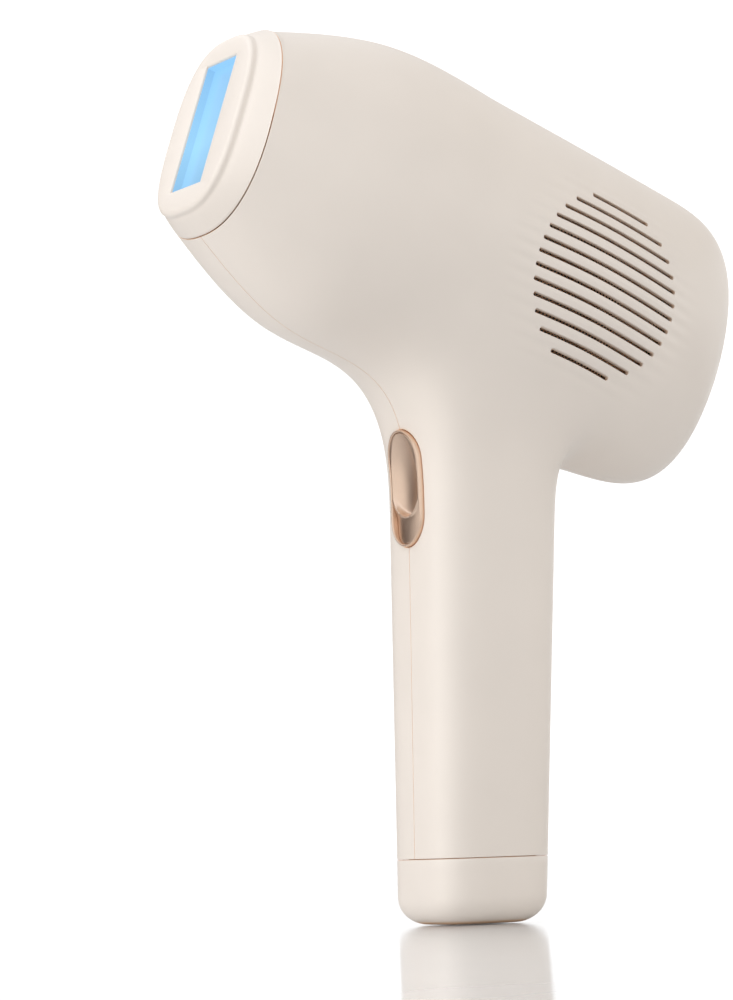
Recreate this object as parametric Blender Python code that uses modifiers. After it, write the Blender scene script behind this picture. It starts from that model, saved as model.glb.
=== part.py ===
"""IPL hair remover: a hand-held flash lamp head on an upright handle.

World frame: +Z up, origin at the centre of the flat base, -X towards the lamp
window, Y = 0 the plane of symmetry. The head has a frame of its own whose X runs
back from the window, Y sideways and Z up across the head.
"""
import math

import bmesh
import bpy
import numpy as np
from mathutils import Matrix, Vector

MM = 0.001
GAP = 0.3 * MM                       # clearance between pieces that meet
WALL = 2.2 * MM                      # moulded wall of the two shells

# Head: centre of the window face and the tilt of the head's axis
NOSE_X = -66.2 * MM
NOSE_Z = 191.3 * MM
HEAD_TILT = math.radians(18.9)
HEAD_LENGTH = 148.8 * MM
END_ROUND = 28 * MM                  # length of the rounded rear end
END_POWER = 3.4
# distance from the face, centre height, half height, half width, section power
HEAD_STATIONS = np.array([
    (6.4 * MM, 0.6 * MM, 25.8 * MM, 25.3 * MM, 2.45),
    (35 * MM, -1.7 * MM, 36.7 * MM, 32.9 * MM, 2.3),
    (65 * MM, -2.6 * MM, 37.0 * MM, 35.2 * MM, 2.05),
    (95 * MM, -6.2 * MM, 38.6 * MM, 34.6 * MM, 2.0),
    (122 * MM, -6.4 * MM, 37.5 * MM, 27.2 * MM, 2.0),
    (148.8 * MM, -6.6 * MM, 36.4 * MM, 18.0 * MM, 2.0),
])
SEAM_TILT = math.radians(-2.1)       # the nose seam leans against the face

# Handle: half sizes at the bottom-cap seam and near the head
SEAM_Z = 15.8 * MM
GRIP_Z = 110 * MM
GRIP_BOTTOM = (16.0 * MM, 15.7 * MM)
GRIP_TOP = (18.0 * MM, 17.4 * MM)
GRIP_LEAN = 4.5 * MM                 # shift of the handle's centre at GRIP_Z
GRIP_POWER = 3.7
GRIP_CORE_TOP = 150 * MM             # the handle's core ends inside the head
BLEND_FRONT = 31 * MM
BLEND_SIDE = 26 * MM
BLEND_REAR = 10 * MM
BASE_ROUND = 6.5 * MM

# Nose and lamp cartridge, distances along the head's axis
WINDOW = (33.0 * MM, 16.4 * MM)      # height, width of the light opening
WINDOW_UP = 0.7 * MM
FACE_HALF = (22.9 * MM, 18.8 * MM)
FACE_POWER = 2.9
FACE_UP = 0.4 * MM
LIP = 1.2 * MM
GLASS_BACK = 2.4 * MM
GLASS_THICK = 1.6 * MM
REFLECTOR_DEPTH = 11 * MM
LAMP_RADIUS = 2.6 * MM
CARTRIDGE_BACK = 19 * MM
SKIRT_BACK = 15 * MM
PIN_HEIGHT = 11 * MM
PIN_RADIUS = 1.5 * MM
SOCKET_FRONT = 21.5 * MM
SOCKET_BACK = 33 * MM

# Vents and fan
VENT_S = 99.7 * MM
VENT_V = -7.1 * MM
VENT_RADIUS = 22.3 * MM
VENT_PITCH = 3.37 * MM
VENT_COUNT = 13
VENT_WIDTH = 1.1 * MM
FAN_SIZE = 40 * MM
FAN_DEPTH = 10 * MM
FAN_BLADES = 7
MESH_THICK = 0.6 * MM

# Flash button on the front of the handle
BUTTON_Z = 105.4 * MM
BEZEL_HALF = (7.3 * MM, 14.2 * MM)
BEZEL_WALL = 1.1 * MM

# Rear control panel: fraction of the section where the panel meets the shells
PANEL_SCALE = 0.53
POWER_RADIUS = 5.2 * MM
POWER_V = -15.5 * MM

# Power inlet in the base
INLET_X = 6.4 * MM
INLET_BORE = 2.9 * MM

RING = 16                            # points round one loop of the body cage


# ---------------------------------------------------------------- scene helpers

def clear_scene():
    for item in list(bpy.data.objects):
        bpy.data.objects.remove(item, do_unlink=True)


def collection(name):
    made = bpy.data.collections.new(name)
    bpy.context.scene.collection.children.link(made)
    return made


def material(name, colour, roughness, metallic=0.0):
    made = bpy.data.materials.new(name)
    made.use_nodes = True
    shader = made.node_tree.nodes["Principled BSDF"]
    shader.inputs["Base Color"].default_value = (*colour, 1.0)
    shader.inputs["Roughness"].default_value = roughness
    shader.inputs["Metallic"].default_value = metallic
    made.diffuse_color = (*colour, 1.0)
    return made


def add(name, mesh, finish, parent=None, group=None, smooth=None):
    made = bpy.data.objects.new(name, mesh)
    (group or PARTS).objects.link(made)
    made.parent = parent
    if finish:
        mesh.materials.clear()
        mesh.materials.append(finish)
    if smooth:
        mesh.shade_smooth()
        mesh.set_sharp_from_angle(angle=math.radians(smooth))
    return made


def mesh_from(bm, name):
    bmesh.ops.recalc_face_normals(bm, faces=bm.faces[:])
    mesh = bpy.data.meshes.new(name)
    bm.to_mesh(mesh)
    bm.free()
    return mesh


def box_mesh(name, low, high, bevel=0.0):
    """Box between two corners, its edges rounded by one bevel."""
    bm = bmesh.new()
    bmesh.ops.create_cube(bm, size=1.0)
    low = Vector(low)
    high = Vector(high)
    bmesh.ops.scale(bm, vec=high - low, verts=bm.verts[:])
    bmesh.ops.translate(bm, vec=(low + high) / 2, verts=bm.verts[:])
    if bevel:
        bmesh.ops.bevel(bm, geom=bm.edges[:], offset=bevel, segments=1, affect='EDGES')
    return mesh_from(bm, name)


def rod_mesh(name, radius, start, end, sides=16):
    """Cylinder from one point to another."""
    start = Vector(start)
    end = Vector(end)
    bm = bmesh.new()
    turn = (end - start).to_track_quat('Z', 'Y').to_matrix().to_4x4()
    place = Matrix.Translation((start + end) / 2) @ turn
    bmesh.ops.create_cone(bm, cap_ends=True, segments=sides, radius1=radius, radius2=radius,
                          depth=(end - start).length, matrix=place)
    return mesh_from(bm, name)


def turned_mesh(name, profile, place, steps=20):
    """Solid of revolution about local Z; the profile runs down its outer side."""
    bm = bmesh.new()
    verts = [bm.verts.new((radius, 0.0, height)) for radius, height in profile]
    for first, second in zip(verts, verts[1:]):
        bm.edges.new((first, second))
    raw = bpy.data.meshes.new(name + "_profile")
    bm.to_mesh(raw)
    bm.free()
    holder = add(name + "_profile", raw, None, group=CUTTERS)
    screw = holder.modifiers.new("turn", 'SCREW')
    screw.steps = steps
    screw.render_steps = steps
    screw.use_merge_vertices = True
    screw.merge_threshold = 0.00001
    solid = evaluated(holder, name)
    bpy.data.objects.remove(holder, do_unlink=True)
    bpy.data.meshes.remove(raw)
    solid.transform(place)
    return solid


def evaluated(source, name):
    """Copy of an object's mesh with its modifiers applied."""
    bpy.context.view_layer.update()
    graph = bpy.context.evaluated_depsgraph_get()
    mesh = bpy.data.meshes.new_from_object(source.evaluated_get(graph))
    mesh.name = name
    return mesh


def cutter(name, mesh, parent=None):
    made = add(name, mesh, None, parent=parent, group=CUTTERS)
    made.hide_render = True
    made.display_type = 'WIRE'
    return made


def combine(target, other, operation):
    step = target.modifiers.new(other.name, 'BOOLEAN')
    step.operation = operation
    step.solver = 'EXACT'
    step.object = other


def loft_mesh(name, loops, closed=False):
    """Skin over loops of equal point count: a ring when closed, else capped."""
    bm = bmesh.new()
    rows = [[bm.verts.new(point) for point in loop] for loop in loops]
    pairs = list(zip(rows, rows[1:]))
    if closed:
        pairs.append((rows[-1], rows[0]))
    for upper, lower in pairs:
        for k in range(len(upper)):
            following = (k + 1) % len(upper)
            bm.faces.new((upper[k], upper[following], lower[following], lower[k]))
    if not closed:
        bm.faces.new(rows[0])
        bm.faces.new(rows[-1])
    return mesh_from(bm, name)


# ---------------------------------------------------------------- body surface

def spline(knots, values, at):
    """Natural cubic spline through the stations."""
    count = len(knots)
    span = np.diff(knots)
    matrix = np.eye(count)
    right = np.zeros(count)
    for i in range(1, count - 1):
        matrix[i, i - 1:i + 2] = span[i - 1], 2 * (span[i - 1] + span[i]), span[i]
        slopes = (values[i + 1] - values[i]) / span[i] - (values[i] - values[i - 1]) / span[i - 1]
        right[i] = 6 * slopes
    bend = np.linalg.solve(matrix, right)
    at = np.clip(at, knots[0], knots[-1])
    i = np.clip(np.searchsorted(knots, at) - 1, 0, count - 2)
    a = (knots[i + 1] - at) / span[i]
    b = 1 - a
    curve = (a ** 3 - a) * bend[i] + (b ** 3 - b) * bend[i + 1]
    return a * values[i] + b * values[i + 1] + curve * span[i] ** 2 / 6


def head_section(s):
    """Centre height, half height, half width and power at a distance from the face."""
    knots = HEAD_STATIONS[:, 0]
    sizes = [spline(knots, HEAD_STATIONS[:, column], s) for column in (1, 2, 3)]
    return (*sizes, np.interp(s, knots, HEAD_STATIONS[:, 4]))


def to_head(points):
    """World points to head coordinates (s back, y, v up)."""
    dx = points[:, 0] - NOSE_X
    dz = points[:, 2] - NOSE_Z
    s = math.cos(HEAD_TILT) * dx - math.sin(HEAD_TILT) * dz
    v = math.sin(HEAD_TILT) * dx + math.cos(HEAD_TILT) * dz
    return s, points[:, 1], v


def to_world(s, y, v):
    x = NOSE_X + math.cos(HEAD_TILT) * s + math.sin(HEAD_TILT) * v
    z = NOSE_Z - math.sin(HEAD_TILT) * s + math.cos(HEAD_TILT) * v
    return np.stack(np.broadcast_arrays(x, y, z), axis=-1)


def head_level(points):
    s, y, v = to_head(points)
    centre, half_height, half_width, power = head_section(s)
    radius = np.abs(y / half_width) ** power + np.abs((v - centre) / half_height) ** power
    radius = radius ** (1 / power)
    end = np.maximum((s - HEAD_LENGTH + END_ROUND) / END_ROUND, 0)
    level = (radius ** END_POWER + end ** END_POWER) ** (1 / END_POWER) - 1
    return level * np.minimum(half_height, half_width)


def grip_half(z):
    part = (z - SEAM_Z) / (GRIP_Z - SEAM_Z)
    half_x = GRIP_BOTTOM[0] + (GRIP_TOP[0] - GRIP_BOTTOM[0]) * part
    half_y = GRIP_BOTTOM[1] + (GRIP_TOP[1] - GRIP_BOTTOM[1]) * part
    return half_x, half_y


def grip_centre(z):
    return GRIP_LEAN * z / GRIP_Z


def grip_level(points):
    x, y, z = points.T
    half_x, half_y = grip_half(z)
    radius = np.abs((x - grip_centre(z)) / half_x) ** GRIP_POWER + np.abs(y / half_y) ** GRIP_POWER
    side = (radius ** (1 / GRIP_POWER) - 1) * half_x
    return np.maximum(side, z - GRIP_CORE_TOP)


def body_level(points):
    """Signed distance, nearly, to head and handle joined by a soft fillet."""
    head = head_level(points)
    grip = grip_level(points)
    x, y, z = points.T
    facing = np.cos(np.arctan2(np.abs(y), grip_centre(z) - x))
    ends = np.where(facing > 0, BLEND_FRONT, BLEND_REAR)
    blend = BLEND_SIDE + (ends - BLEND_SIDE) * facing ** 2
    share = np.maximum(blend - np.abs(head - grip), 0) / blend
    return np.minimum(head, grip) - share ** 3 * blend / 6


def slope(points):
    step = 0.02 * MM
    parts = []
    for axis in np.eye(3):
        ahead = body_level(points + axis * step)
        behind = body_level(points - axis * step)
        parts.append((ahead - behind) / (2 * step))
    return np.stack(parts, axis=1)


def onto_body(points, inset=0.0, direction=None, rounds=12):
    """Move points to the body surface, along its normal or a fixed direction."""
    points = np.array(points, dtype=float)
    for _ in range(rounds):
        level = body_level(points) / np.linalg.norm(slope(points), axis=1) + inset
        if direction is None:
            normal = slope(points)
            normal /= np.linalg.norm(normal, axis=1)[:, None]
            points -= level[:, None] * normal
        else:
            along = slope(points) @ np.array(direction)
            along /= np.linalg.norm(slope(points), axis=1)
            points -= (level / along)[:, None] * np.array(direction)
    return points


def oval(angles, half_width, half_height, power):
    """Points of a superellipse by angle: width across, height up."""
    c = np.cos(angles)
    s = np.sin(angles)
    across = half_width * np.sign(c) * np.abs(c) ** (2 / power)
    up = half_height * np.sign(s) * np.abs(s) ** (2 / power)
    return across, up


def head_ring(s, angles, lean=0.0, scale=1.0):
    """Loop of world points round the head."""
    centre, half_height, half_width, power = head_section(np.array([s]))
    y, v = oval(angles, half_width * scale, half_height * scale, power[0])
    return to_world(s + math.tan(lean) * v, y, v + centre)


def body_cage():
    """Coarse quad cage of head and handle, open at nose, rear panel and base."""
    angles = math.radians(-90) + np.arange(RING) * math.tau / RING
    front = [head_ring(HEAD_STATIONS[0, 0] + GAP / 2, angles, SEAM_TILT)]
    middle = [head_ring(s * MM, angles) for s in (12, 21, 33, 46, 58, 72, 86, 99, 111, 123)]
    rear = []
    for turn in (18, 36, 55):
        end = math.sin(math.radians(turn)) ** (2 / END_POWER)
        s = HEAD_LENGTH - END_ROUND * (1 - end)
        rear.append(head_ring(s, angles, scale=math.cos(math.radians(turn)) ** (2 / END_POWER)))
    end = (1 - PANEL_SCALE ** END_POWER) ** (1 / END_POWER)
    rear.append(head_ring(HEAD_LENGTH - END_ROUND * (1 - end), angles, scale=PANEL_SCALE))
    rings = front + middle + rear
    bm = bmesh.new()
    grid = [[bm.verts.new(point) for point in ring] for ring in rings]
    first, last, spread = 5, 9, 2    # rings and half width of the opening for the handle
    for i in range(len(grid) - 1):
        for k in range(RING):
            under = first <= i < last and (k < spread or k >= RING - spread)
            if not under:
                after = (k + 1) % RING
                bm.faces.new((grid[i][k], grid[i][after], grid[i + 1][after], grid[i + 1][k]))
    edge = [grid[first][k] for k in range(spread)]
    edge += [grid[i][spread] for i in range(first, last)]
    edge += [grid[last][k] for k in range(spread, -spread, -1)]
    edge += [grid[i][-spread] for i in range(last, first, -1)]
    edge += [grid[first][k] for k in range(-spread, 0)]
    turn = math.pi - np.arange(RING) * math.tau / RING
    loops = [edge]
    levels = (96 * MM, 60 * MM, SEAM_Z + GAP / 2)
    for z in levels:
        half_x, half_y = grip_half(z)
        x, y = oval(turn, half_x, half_y, GRIP_POWER)
        loops.append([bm.verts.new((grip_centre(z) + px, py, z)) for px, py in zip(x, y)])
    for share in (0.7, 0.4):
        loops.insert(1, [bm.verts.new(a.co.lerp(b.co, share)) for a, b in zip(edge, loops[-3])])
    for upper, lower in zip(loops, loops[1:]):
        for k in range(RING):
            after = (k + 1) % RING
            bm.faces.new((upper[k], upper[after], lower[after], lower[k]))
    return mesh_from(bm, "body_cage")


def snap_to_body(mesh):
    """Put every vertex on the body surface, keeping open rims at their own level."""
    flat = np.empty(len(mesh.vertices) * 3)
    mesh.vertices.foreach_get("co", flat)
    points = flat.reshape(-1, 3)
    moved = onto_body(points)
    low = points[:, 2] < SEAM_Z + GAP
    moved[low, 2] = points[low, 2]
    s, _, v = to_head(points)
    nose = s < HEAD_STATIONS[0, 0] + 1.2 * MM
    moved[nose] = points[nose]
    mesh.vertices.foreach_set("co", moved.ravel())
    mesh.update()


def body_surface():
    """Subdivided body surface, snapped to the level at the cage and after each split."""
    cage = body_cage()
    snap_to_body(cage)
    holder = add("body_cage", cage, None, group=CUTTERS)
    split = holder.modifiers.new("split", 'SUBSURF')
    split.levels = 1
    split.render_levels = 1
    surface = evaluated(holder, "body_surface")
    bpy.data.objects.remove(holder, do_unlink=True)
    snap_to_body(surface)
    return surface


# ---------------------------------------------------------------- casing

def make_shells():
    """Left and right half shells cut from one walled body."""
    surface = body_surface()
    vents = vent_cutters()
    window = capsule_cutter("button_opening", BEZEL_HALF[0] + GAP, BEZEL_HALF[1] + GAP)
    bosses = boss_meshes()
    reach = 0.3
    for name, low, high in (("right_shell", -reach, -GAP / 2), ("left_shell", GAP / 2, reach)):
        shell = add(name, surface.copy(), IVORY, smooth=40)
        wall = shell.modifiers.new("wall", 'SOLIDIFY')
        wall.thickness = WALL
        wall.offset = -1
        wall.use_even_offset = True
        if name == "left_shell":
            for boss in bosses:
                combine(shell, boss, 'UNION')
        half = cutter(name + "_half", box_mesh(name, (-reach, low, -reach), (reach, high, reach)))
        combine(shell, half, 'INTERSECT')
        combine(shell, vents, 'DIFFERENCE')
        combine(shell, window, 'DIFFERENCE')


def vent_rows():
    """Centre height across the vent circle and half length of each slot."""
    for i in range(VENT_COUNT):
        offset = (VENT_COUNT // 2 - i) * VENT_PITCH
        yield VENT_V + offset, math.sqrt(VENT_RADIUS ** 2 - offset ** 2)


def vent_cutters():
    """Blades that cut every vent slot through both shells, as one mesh."""
    bm = bmesh.new()
    reach = 60 * MM
    hollow = 22 * MM                 # the blades stop short of the fan's bosses
    for v, half in vent_rows():
        for side in (-1, 1):
            centre = Vector((VENT_S, side * (reach + hollow) / 2, v))
            made = bmesh.ops.create_cube(bm, size=1.0)["verts"]
            bmesh.ops.scale(bm, vec=(2 * half, reach - hollow, VENT_WIDTH), verts=made)
            bmesh.ops.translate(bm, vec=centre, verts=made)
    return cutter("vent_slots", mesh_from(bm, "vent_slots"), HEAD)


def fan_corners():
    reach = FAN_SIZE / 2 - 3.5 * MM
    return [(VENT_S + a * reach, VENT_V + b * reach) for a in (-1, 1) for b in (-1, 1)]


def boss_meshes():
    """Posts on the left shell that carry the fan's screws."""
    posts = []
    for i, (s, v) in enumerate(fan_corners()):
        low = (s, FAN_DEPTH / 2 + GAP, v)
        high = (s, 22 * MM, v)
        post = cutter(f"boss_{i + 1}", rod_mesh("boss", 3 * MM, low, (s, 40 * MM, v), 12), HEAD)
        bore = cutter(f"boss_bore_{i + 1}", rod_mesh("bore", 1.5 * MM, (s, 0, v), high, 10), HEAD)
        combine(post, bore, 'DIFFERENCE')
        combine(post, INSIDE, 'INTERSECT')
        posts.append(post)
    return posts


def inside_body():
    """The space within the shells' walls, used to trim posts and screens."""
    bm = bmesh.new()
    angles = math.radians(-90) + np.arange(2 * RING) * math.pi / RING
    rings = []
    for s in (70, 85, 100, 115, 125):
        centre, half_height, half_width, power = head_section(np.array([s * MM]))
        y, v = oval(angles, half_width - WALL / 2, half_height - WALL / 2, power[0])
        rings.append([bm.verts.new((s * MM, a, b + centre[0])) for a, b in zip(y, v)])
    for upper, lower in zip(rings, rings[1:]):
        for k in range(2 * RING):
            after = (k + 1) % (2 * RING)
            bm.faces.new((upper[k], upper[after], lower[after], lower[k]))
    bm.faces.new(rings[0])
    bm.faces.new(rings[-1])
    return cutter("inside_body", mesh_from(bm, "inside_body"), HEAD)


def grip_loop(z, inset):
    """Loop round the handle's section at a height, set in by a distance."""
    half_x, half_y = grip_half(z)
    angles = np.arange(2 * RING) * math.pi / RING
    x, y = oval(angles, half_x - inset, half_y - inset, GRIP_POWER)
    return [(grip_centre(z) + a, b, z) for a, b in zip(x, y)]


def make_bottom_cap():
    """Cup that closes the handle and forms the flat base it stands on."""
    collar = WALL + GAP
    lip = SEAM_Z + 6 * MM
    floor = 3 * MM
    foot = [(x * 0.3, y * 0.3, 0) for x, y, _ in grip_loop(BASE_ROUND, 0)]
    loops = [foot]
    for turn in (90, 70, 45, 20, 0):
        angle = math.radians(turn)
        inset = BASE_ROUND * (1 - math.cos(angle))
        loops.append(grip_loop(BASE_ROUND * (1 - math.sin(angle)), inset))
    loops += [grip_loop(SEAM_Z - GAP / 2, 0), grip_loop(SEAM_Z - GAP / 2, collar),
              grip_loop(lip, collar), grip_loop(lip, collar + WALL),
              grip_loop(floor, collar + WALL)]
    loops.append([(x, y, floor) for x, y, _ in foot])
    cap = add("bottom_cap", loft_mesh("bottom_cap", loops), IVORY, smooth=40)
    hole = rod_mesh("inlet_hole", INLET_BORE + GAP, (INLET_X, 0, -MM), (INLET_X, 0, 5 * MM), 16)
    combine(cap, cutter("inlet_hole", hole), 'DIFFERENCE')


def make_inlet():
    """Round power jack above the hole in the base."""
    top = 14 * MM
    low = 3.4 * MM
    profile = ((0, top), (3.9 * MM, top), (3.9 * MM, low), (INLET_BORE, low),
               (INLET_BORE, top - 2 * MM), (1.0 * MM, top - 2 * MM), (1.0 * MM, low + MM),
               (0, low + 0.6 * MM))
    place = Matrix.Translation((INLET_X, 0, 0))
    add("dc_inlet", turned_mesh("dc_inlet", profile, place, 16), BLACK, smooth=40)


def make_rear_panel():
    """Oval end panel with its screen, button, switch and control board."""
    end = (1 - PANEL_SCALE ** END_POWER) ** (1 / END_POWER)
    s = HEAD_LENGTH - END_ROUND * (1 - end)
    centre, half_height, half_width, power = (value[0] for value in head_section(np.array([s])))
    angles = math.radians(-90) + np.arange(2 * RING) * math.pi / RING

    def loop(inset, depth):
        y, v = oval(angles, half_width * PANEL_SCALE - inset, half_height * PANEL_SCALE - inset,
                    power)
        return [(depth, a, b + centre) for a, b in zip(y, v)]

    edge = 2 * GAP
    loops = [loop(edge + 1.4 * MM, s - 2.4 * MM), loop(edge, s + 0.1 * MM),
             loop(edge + MM, s + 0.8 * MM)]
    panel = add("rear_panel", loft_mesh("rear_panel", loops), IVORY, HEAD, smooth=30)
    screen = (6.5 * MM, 5 * MM)
    screen_v = centre + 5.5 * MM
    pocket = box_mesh("screen_pocket", (s - MM, -screen[1] - GAP, screen_v - screen[0] - GAP),
                      (s + 3 * MM, screen[1] + GAP, screen_v + screen[0] + GAP))
    combine(panel, cutter("screen_pocket", pocket, HEAD), 'DIFFERENCE')
    lens = box_mesh("display_lens", (s - MM + GAP, -screen[1], screen_v - screen[0]),
                    (s + 0.9 * MM, screen[1], screen_v + screen[0]), 0.3 * MM)
    add("display_lens", lens, SMOKE, HEAD)
    front = (s + 5 * MM, 0, POWER_V)
    hole = rod_mesh("power_hole", POWER_RADIUS + GAP, (s - 5 * MM, 0, POWER_V), front, 20)
    combine(panel, cutter("power_hole", hole, HEAD), 'DIFFERENCE')
    power_place(s)


def power_place(s):
    """Power button, its switch and the control board behind the panel."""
    place = Matrix.Translation((s, 0, POWER_V)) @ Matrix.Rotation(math.radians(90), 4, 'Y')
    profile = ((0, 1.4 * MM), (3.5 * MM, 1.5 * MM), (POWER_RADIUS - 0.4 * MM, 1.4 * MM),
               (POWER_RADIUS, 0.9 * MM), (POWER_RADIUS, -2.6 * MM), (1.5 * MM, -2.6 * MM),
               (1.5 * MM, -5.2 * MM), (0, -5.2 * MM))
    add("power_button", turned_mesh("power_button", profile, place), ROSE_GOLD, HEAD, smooth=40)
    switch_face = s - 6.4 * MM
    switch = box_mesh("power_switch", (switch_face - 3.5 * MM, -3 * MM, POWER_V - 3 * MM),
                      (switch_face, 3 * MM, POWER_V + 3 * MM), 0.4 * MM)
    add("power_switch", switch, BLACK, HEAD)
    board_face = switch_face - 3.5 * MM - GAP
    board = box_mesh("control_board", (board_face - 1.6 * MM, -7.5 * MM, -22 * MM),
                     (board_face, 7.5 * MM, 12 * MM))
    add("control_board", board, BOARD, HEAD)


# ---------------------------------------------------------------- nose and lamp

def face_loop(s, half, power, centre, angles):
    """Loop across the head's axis; power None gives a rectangle."""
    if power is None:
        reach = 1 / np.maximum(np.abs(np.cos(angles)), np.abs(np.sin(angles)))
        y = half[1] * np.cos(angles) * reach
        v = half[0] * np.sin(angles) * reach
    else:
        y, v = oval(angles, half[1], half[0], power)
    return [(s, a, b + centre) for a, b in zip(y, v)]


def make_nose():
    """Removable lamp head: cover with a skirt that plugs into the shells."""
    angles = math.radians(-90) + np.arange(2 * RING) * math.pi / RING
    seam_s, seam_c, seam_h, seam_w, power = HEAD_STATIONS[0]

    def seam_loop(inset, s, lean=1.0):
        y, v = oval(angles, seam_w - inset, seam_h - inset, power)
        return [(s + math.tan(SEAM_TILT) * b * lean, a, b + seam_c) for a, b in zip(y, v)]

    window = (WINDOW[0] / 2, WINDOW[1] / 2)
    wide = (window[0] + 1.6 * MM, window[1] + 1.6 * MM)
    flat = (FACE_HALF[0] - LIP, FACE_HALF[1] - LIP)
    skirt = WALL + 2 * GAP
    loops = [
        face_loop(0, window, None, WINDOW_UP, angles),
        face_loop(0, flat, FACE_POWER, FACE_UP, angles),
        face_loop(0.35 * LIP, (FACE_HALF[0] - 0.3 * LIP, FACE_HALF[1] - 0.3 * LIP), FACE_POWER,
                  FACE_UP, angles),
        face_loop(LIP, FACE_HALF, FACE_POWER, FACE_UP, angles),
        seam_loop(1.6 * MM, 3.6 * MM),
        seam_loop(0, seam_s - GAP / 2),
        seam_loop(skirt, seam_s - GAP / 2),
        seam_loop(skirt, SKIRT_BACK, 0),
        seam_loop(skirt + 1.6 * MM, SKIRT_BACK, 0),
        seam_loop(skirt + 1.6 * MM, 5 * MM, 0),
        face_loop(2.2 * MM, wide, None, WINDOW_UP, angles),
        face_loop(2.2 * MM, window, None, WINDOW_UP, angles),
    ]
    add("nose_cover", loft_mesh("nose_cover", loops, closed=True), IVORY, HEAD, smooth=35)


def make_lamp():
    """Filter glass, reflector, flash lamp and its holders in their cartridge."""
    half_v = WINDOW[0] / 2 + 0.8 * MM
    half_y = WINDOW[1] / 2 + 0.8 * MM
    glass_front = GLASS_BACK + GAP
    glass_back = glass_front + GLASS_THICK
    glass = box_mesh("window_glass", (glass_front, -half_y, WINDOW_UP - half_v),
                     (glass_back, half_y, WINDOW_UP + half_v))
    add("window_glass", glass, GLASS, HEAD)
    mouth = glass_back + GAP
    bm = bmesh.new()
    count = 12
    rows = []
    for v in (WINDOW_UP - WINDOW[0] / 2, WINDOW_UP + WINDOW[0] / 2):
        row = []
        for k in range(count + 1):
            turn = math.pi * k / count
            depth = mouth + REFLECTOR_DEPTH * math.sin(turn) ** 0.7
            row.append(bm.verts.new((depth, math.cos(turn) * WINDOW[1] / 2, v)))
        rows.append(row)
    for k in range(count):
        bm.faces.new((rows[0][k], rows[0][k + 1], rows[1][k + 1], rows[1][k]))
    mirror = add("reflector", mesh_from(bm, "reflector"), SILVER, HEAD, smooth=60)
    wall = mirror.modifiers.new("wall", 'SOLIDIFY')
    wall.thickness = 0.6 * MM
    wall.offset = 0
    lamp_s = mouth + REFLECTOR_DEPTH * 0.55
    reach = WINDOW[0] / 2 + 4 * MM
    lamp = rod_mesh("flash_lamp", LAMP_RADIUS, (lamp_s, 0, WINDOW_UP - reach),
                    (lamp_s, 0, WINDOW_UP + reach), 16)
    add("flash_lamp", lamp, GLASS, HEAD, smooth=40)
    for name, sign in (("lamp_holder_upper", 1), ("lamp_holder_lower", -1)):
        near = WINDOW_UP + sign * (WINDOW[0] / 2 + 0.6 * MM)
        far = WINDOW_UP + sign * (reach - 0.5 * MM)
        block = box_mesh(name, (mouth + MM, -5 * MM, min(near, far)),
                         (mouth + REFLECTOR_DEPTH - MM, 5 * MM, max(near, far)))
        holder = add(name, block, CERAMIC, HEAD)
        bore = rod_mesh(name + "_bore", LAMP_RADIUS + GAP, (lamp_s, 0, near - 9 * MM),
                        (lamp_s, 0, near + 9 * MM), 16)
        combine(holder, cutter(name + "_bore", bore, HEAD), 'DIFFERENCE')
    frame = box_mesh("lamp_frame", (CARTRIDGE_BACK - 2.4 * MM, -11 * MM, -19 * MM),
                     (CARTRIDGE_BACK, 11 * MM, 19 * MM), 0.6 * MM)
    plate = add("lamp_frame", frame, BLACK, HEAD)
    for name, sign in (("contact_pin_upper", 1), ("contact_pin_lower", -1)):
        start = (CARTRIDGE_BACK - 2.8 * MM, 0, sign * PIN_HEIGHT)
        end = (SOCKET_FRONT + 7 * MM, 0, sign * PIN_HEIGHT)
        add(name, rod_mesh(name, PIN_RADIUS, start, end, 12), BRASS, HEAD, smooth=40)
        hole = rod_mesh(name + "_hole", PIN_RADIUS + GAP, start, end, 12)
        combine(plate, cutter(name + "_hole", hole, HEAD), 'DIFFERENCE')
    block = box_mesh("contact_socket", (SOCKET_FRONT, -7 * MM, -16 * MM),
                     (SOCKET_BACK, 7 * MM, 16 * MM), 0.6 * MM)
    socket = add("contact_socket", block, BLACK, HEAD)
    for sign in (1, -1):
        start = (SOCKET_FRONT - 2 * MM, 0, sign * PIN_HEIGHT)
        end = (SOCKET_BACK - 3 * MM, 0, sign * PIN_HEIGHT)
        bore = rod_mesh("socket_bore", PIN_RADIUS + GAP, start, end, 12)
        combine(socket, cutter("socket_bore", bore, HEAD), 'DIFFERENCE')


# ---------------------------------------------------------------- cooling

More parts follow.
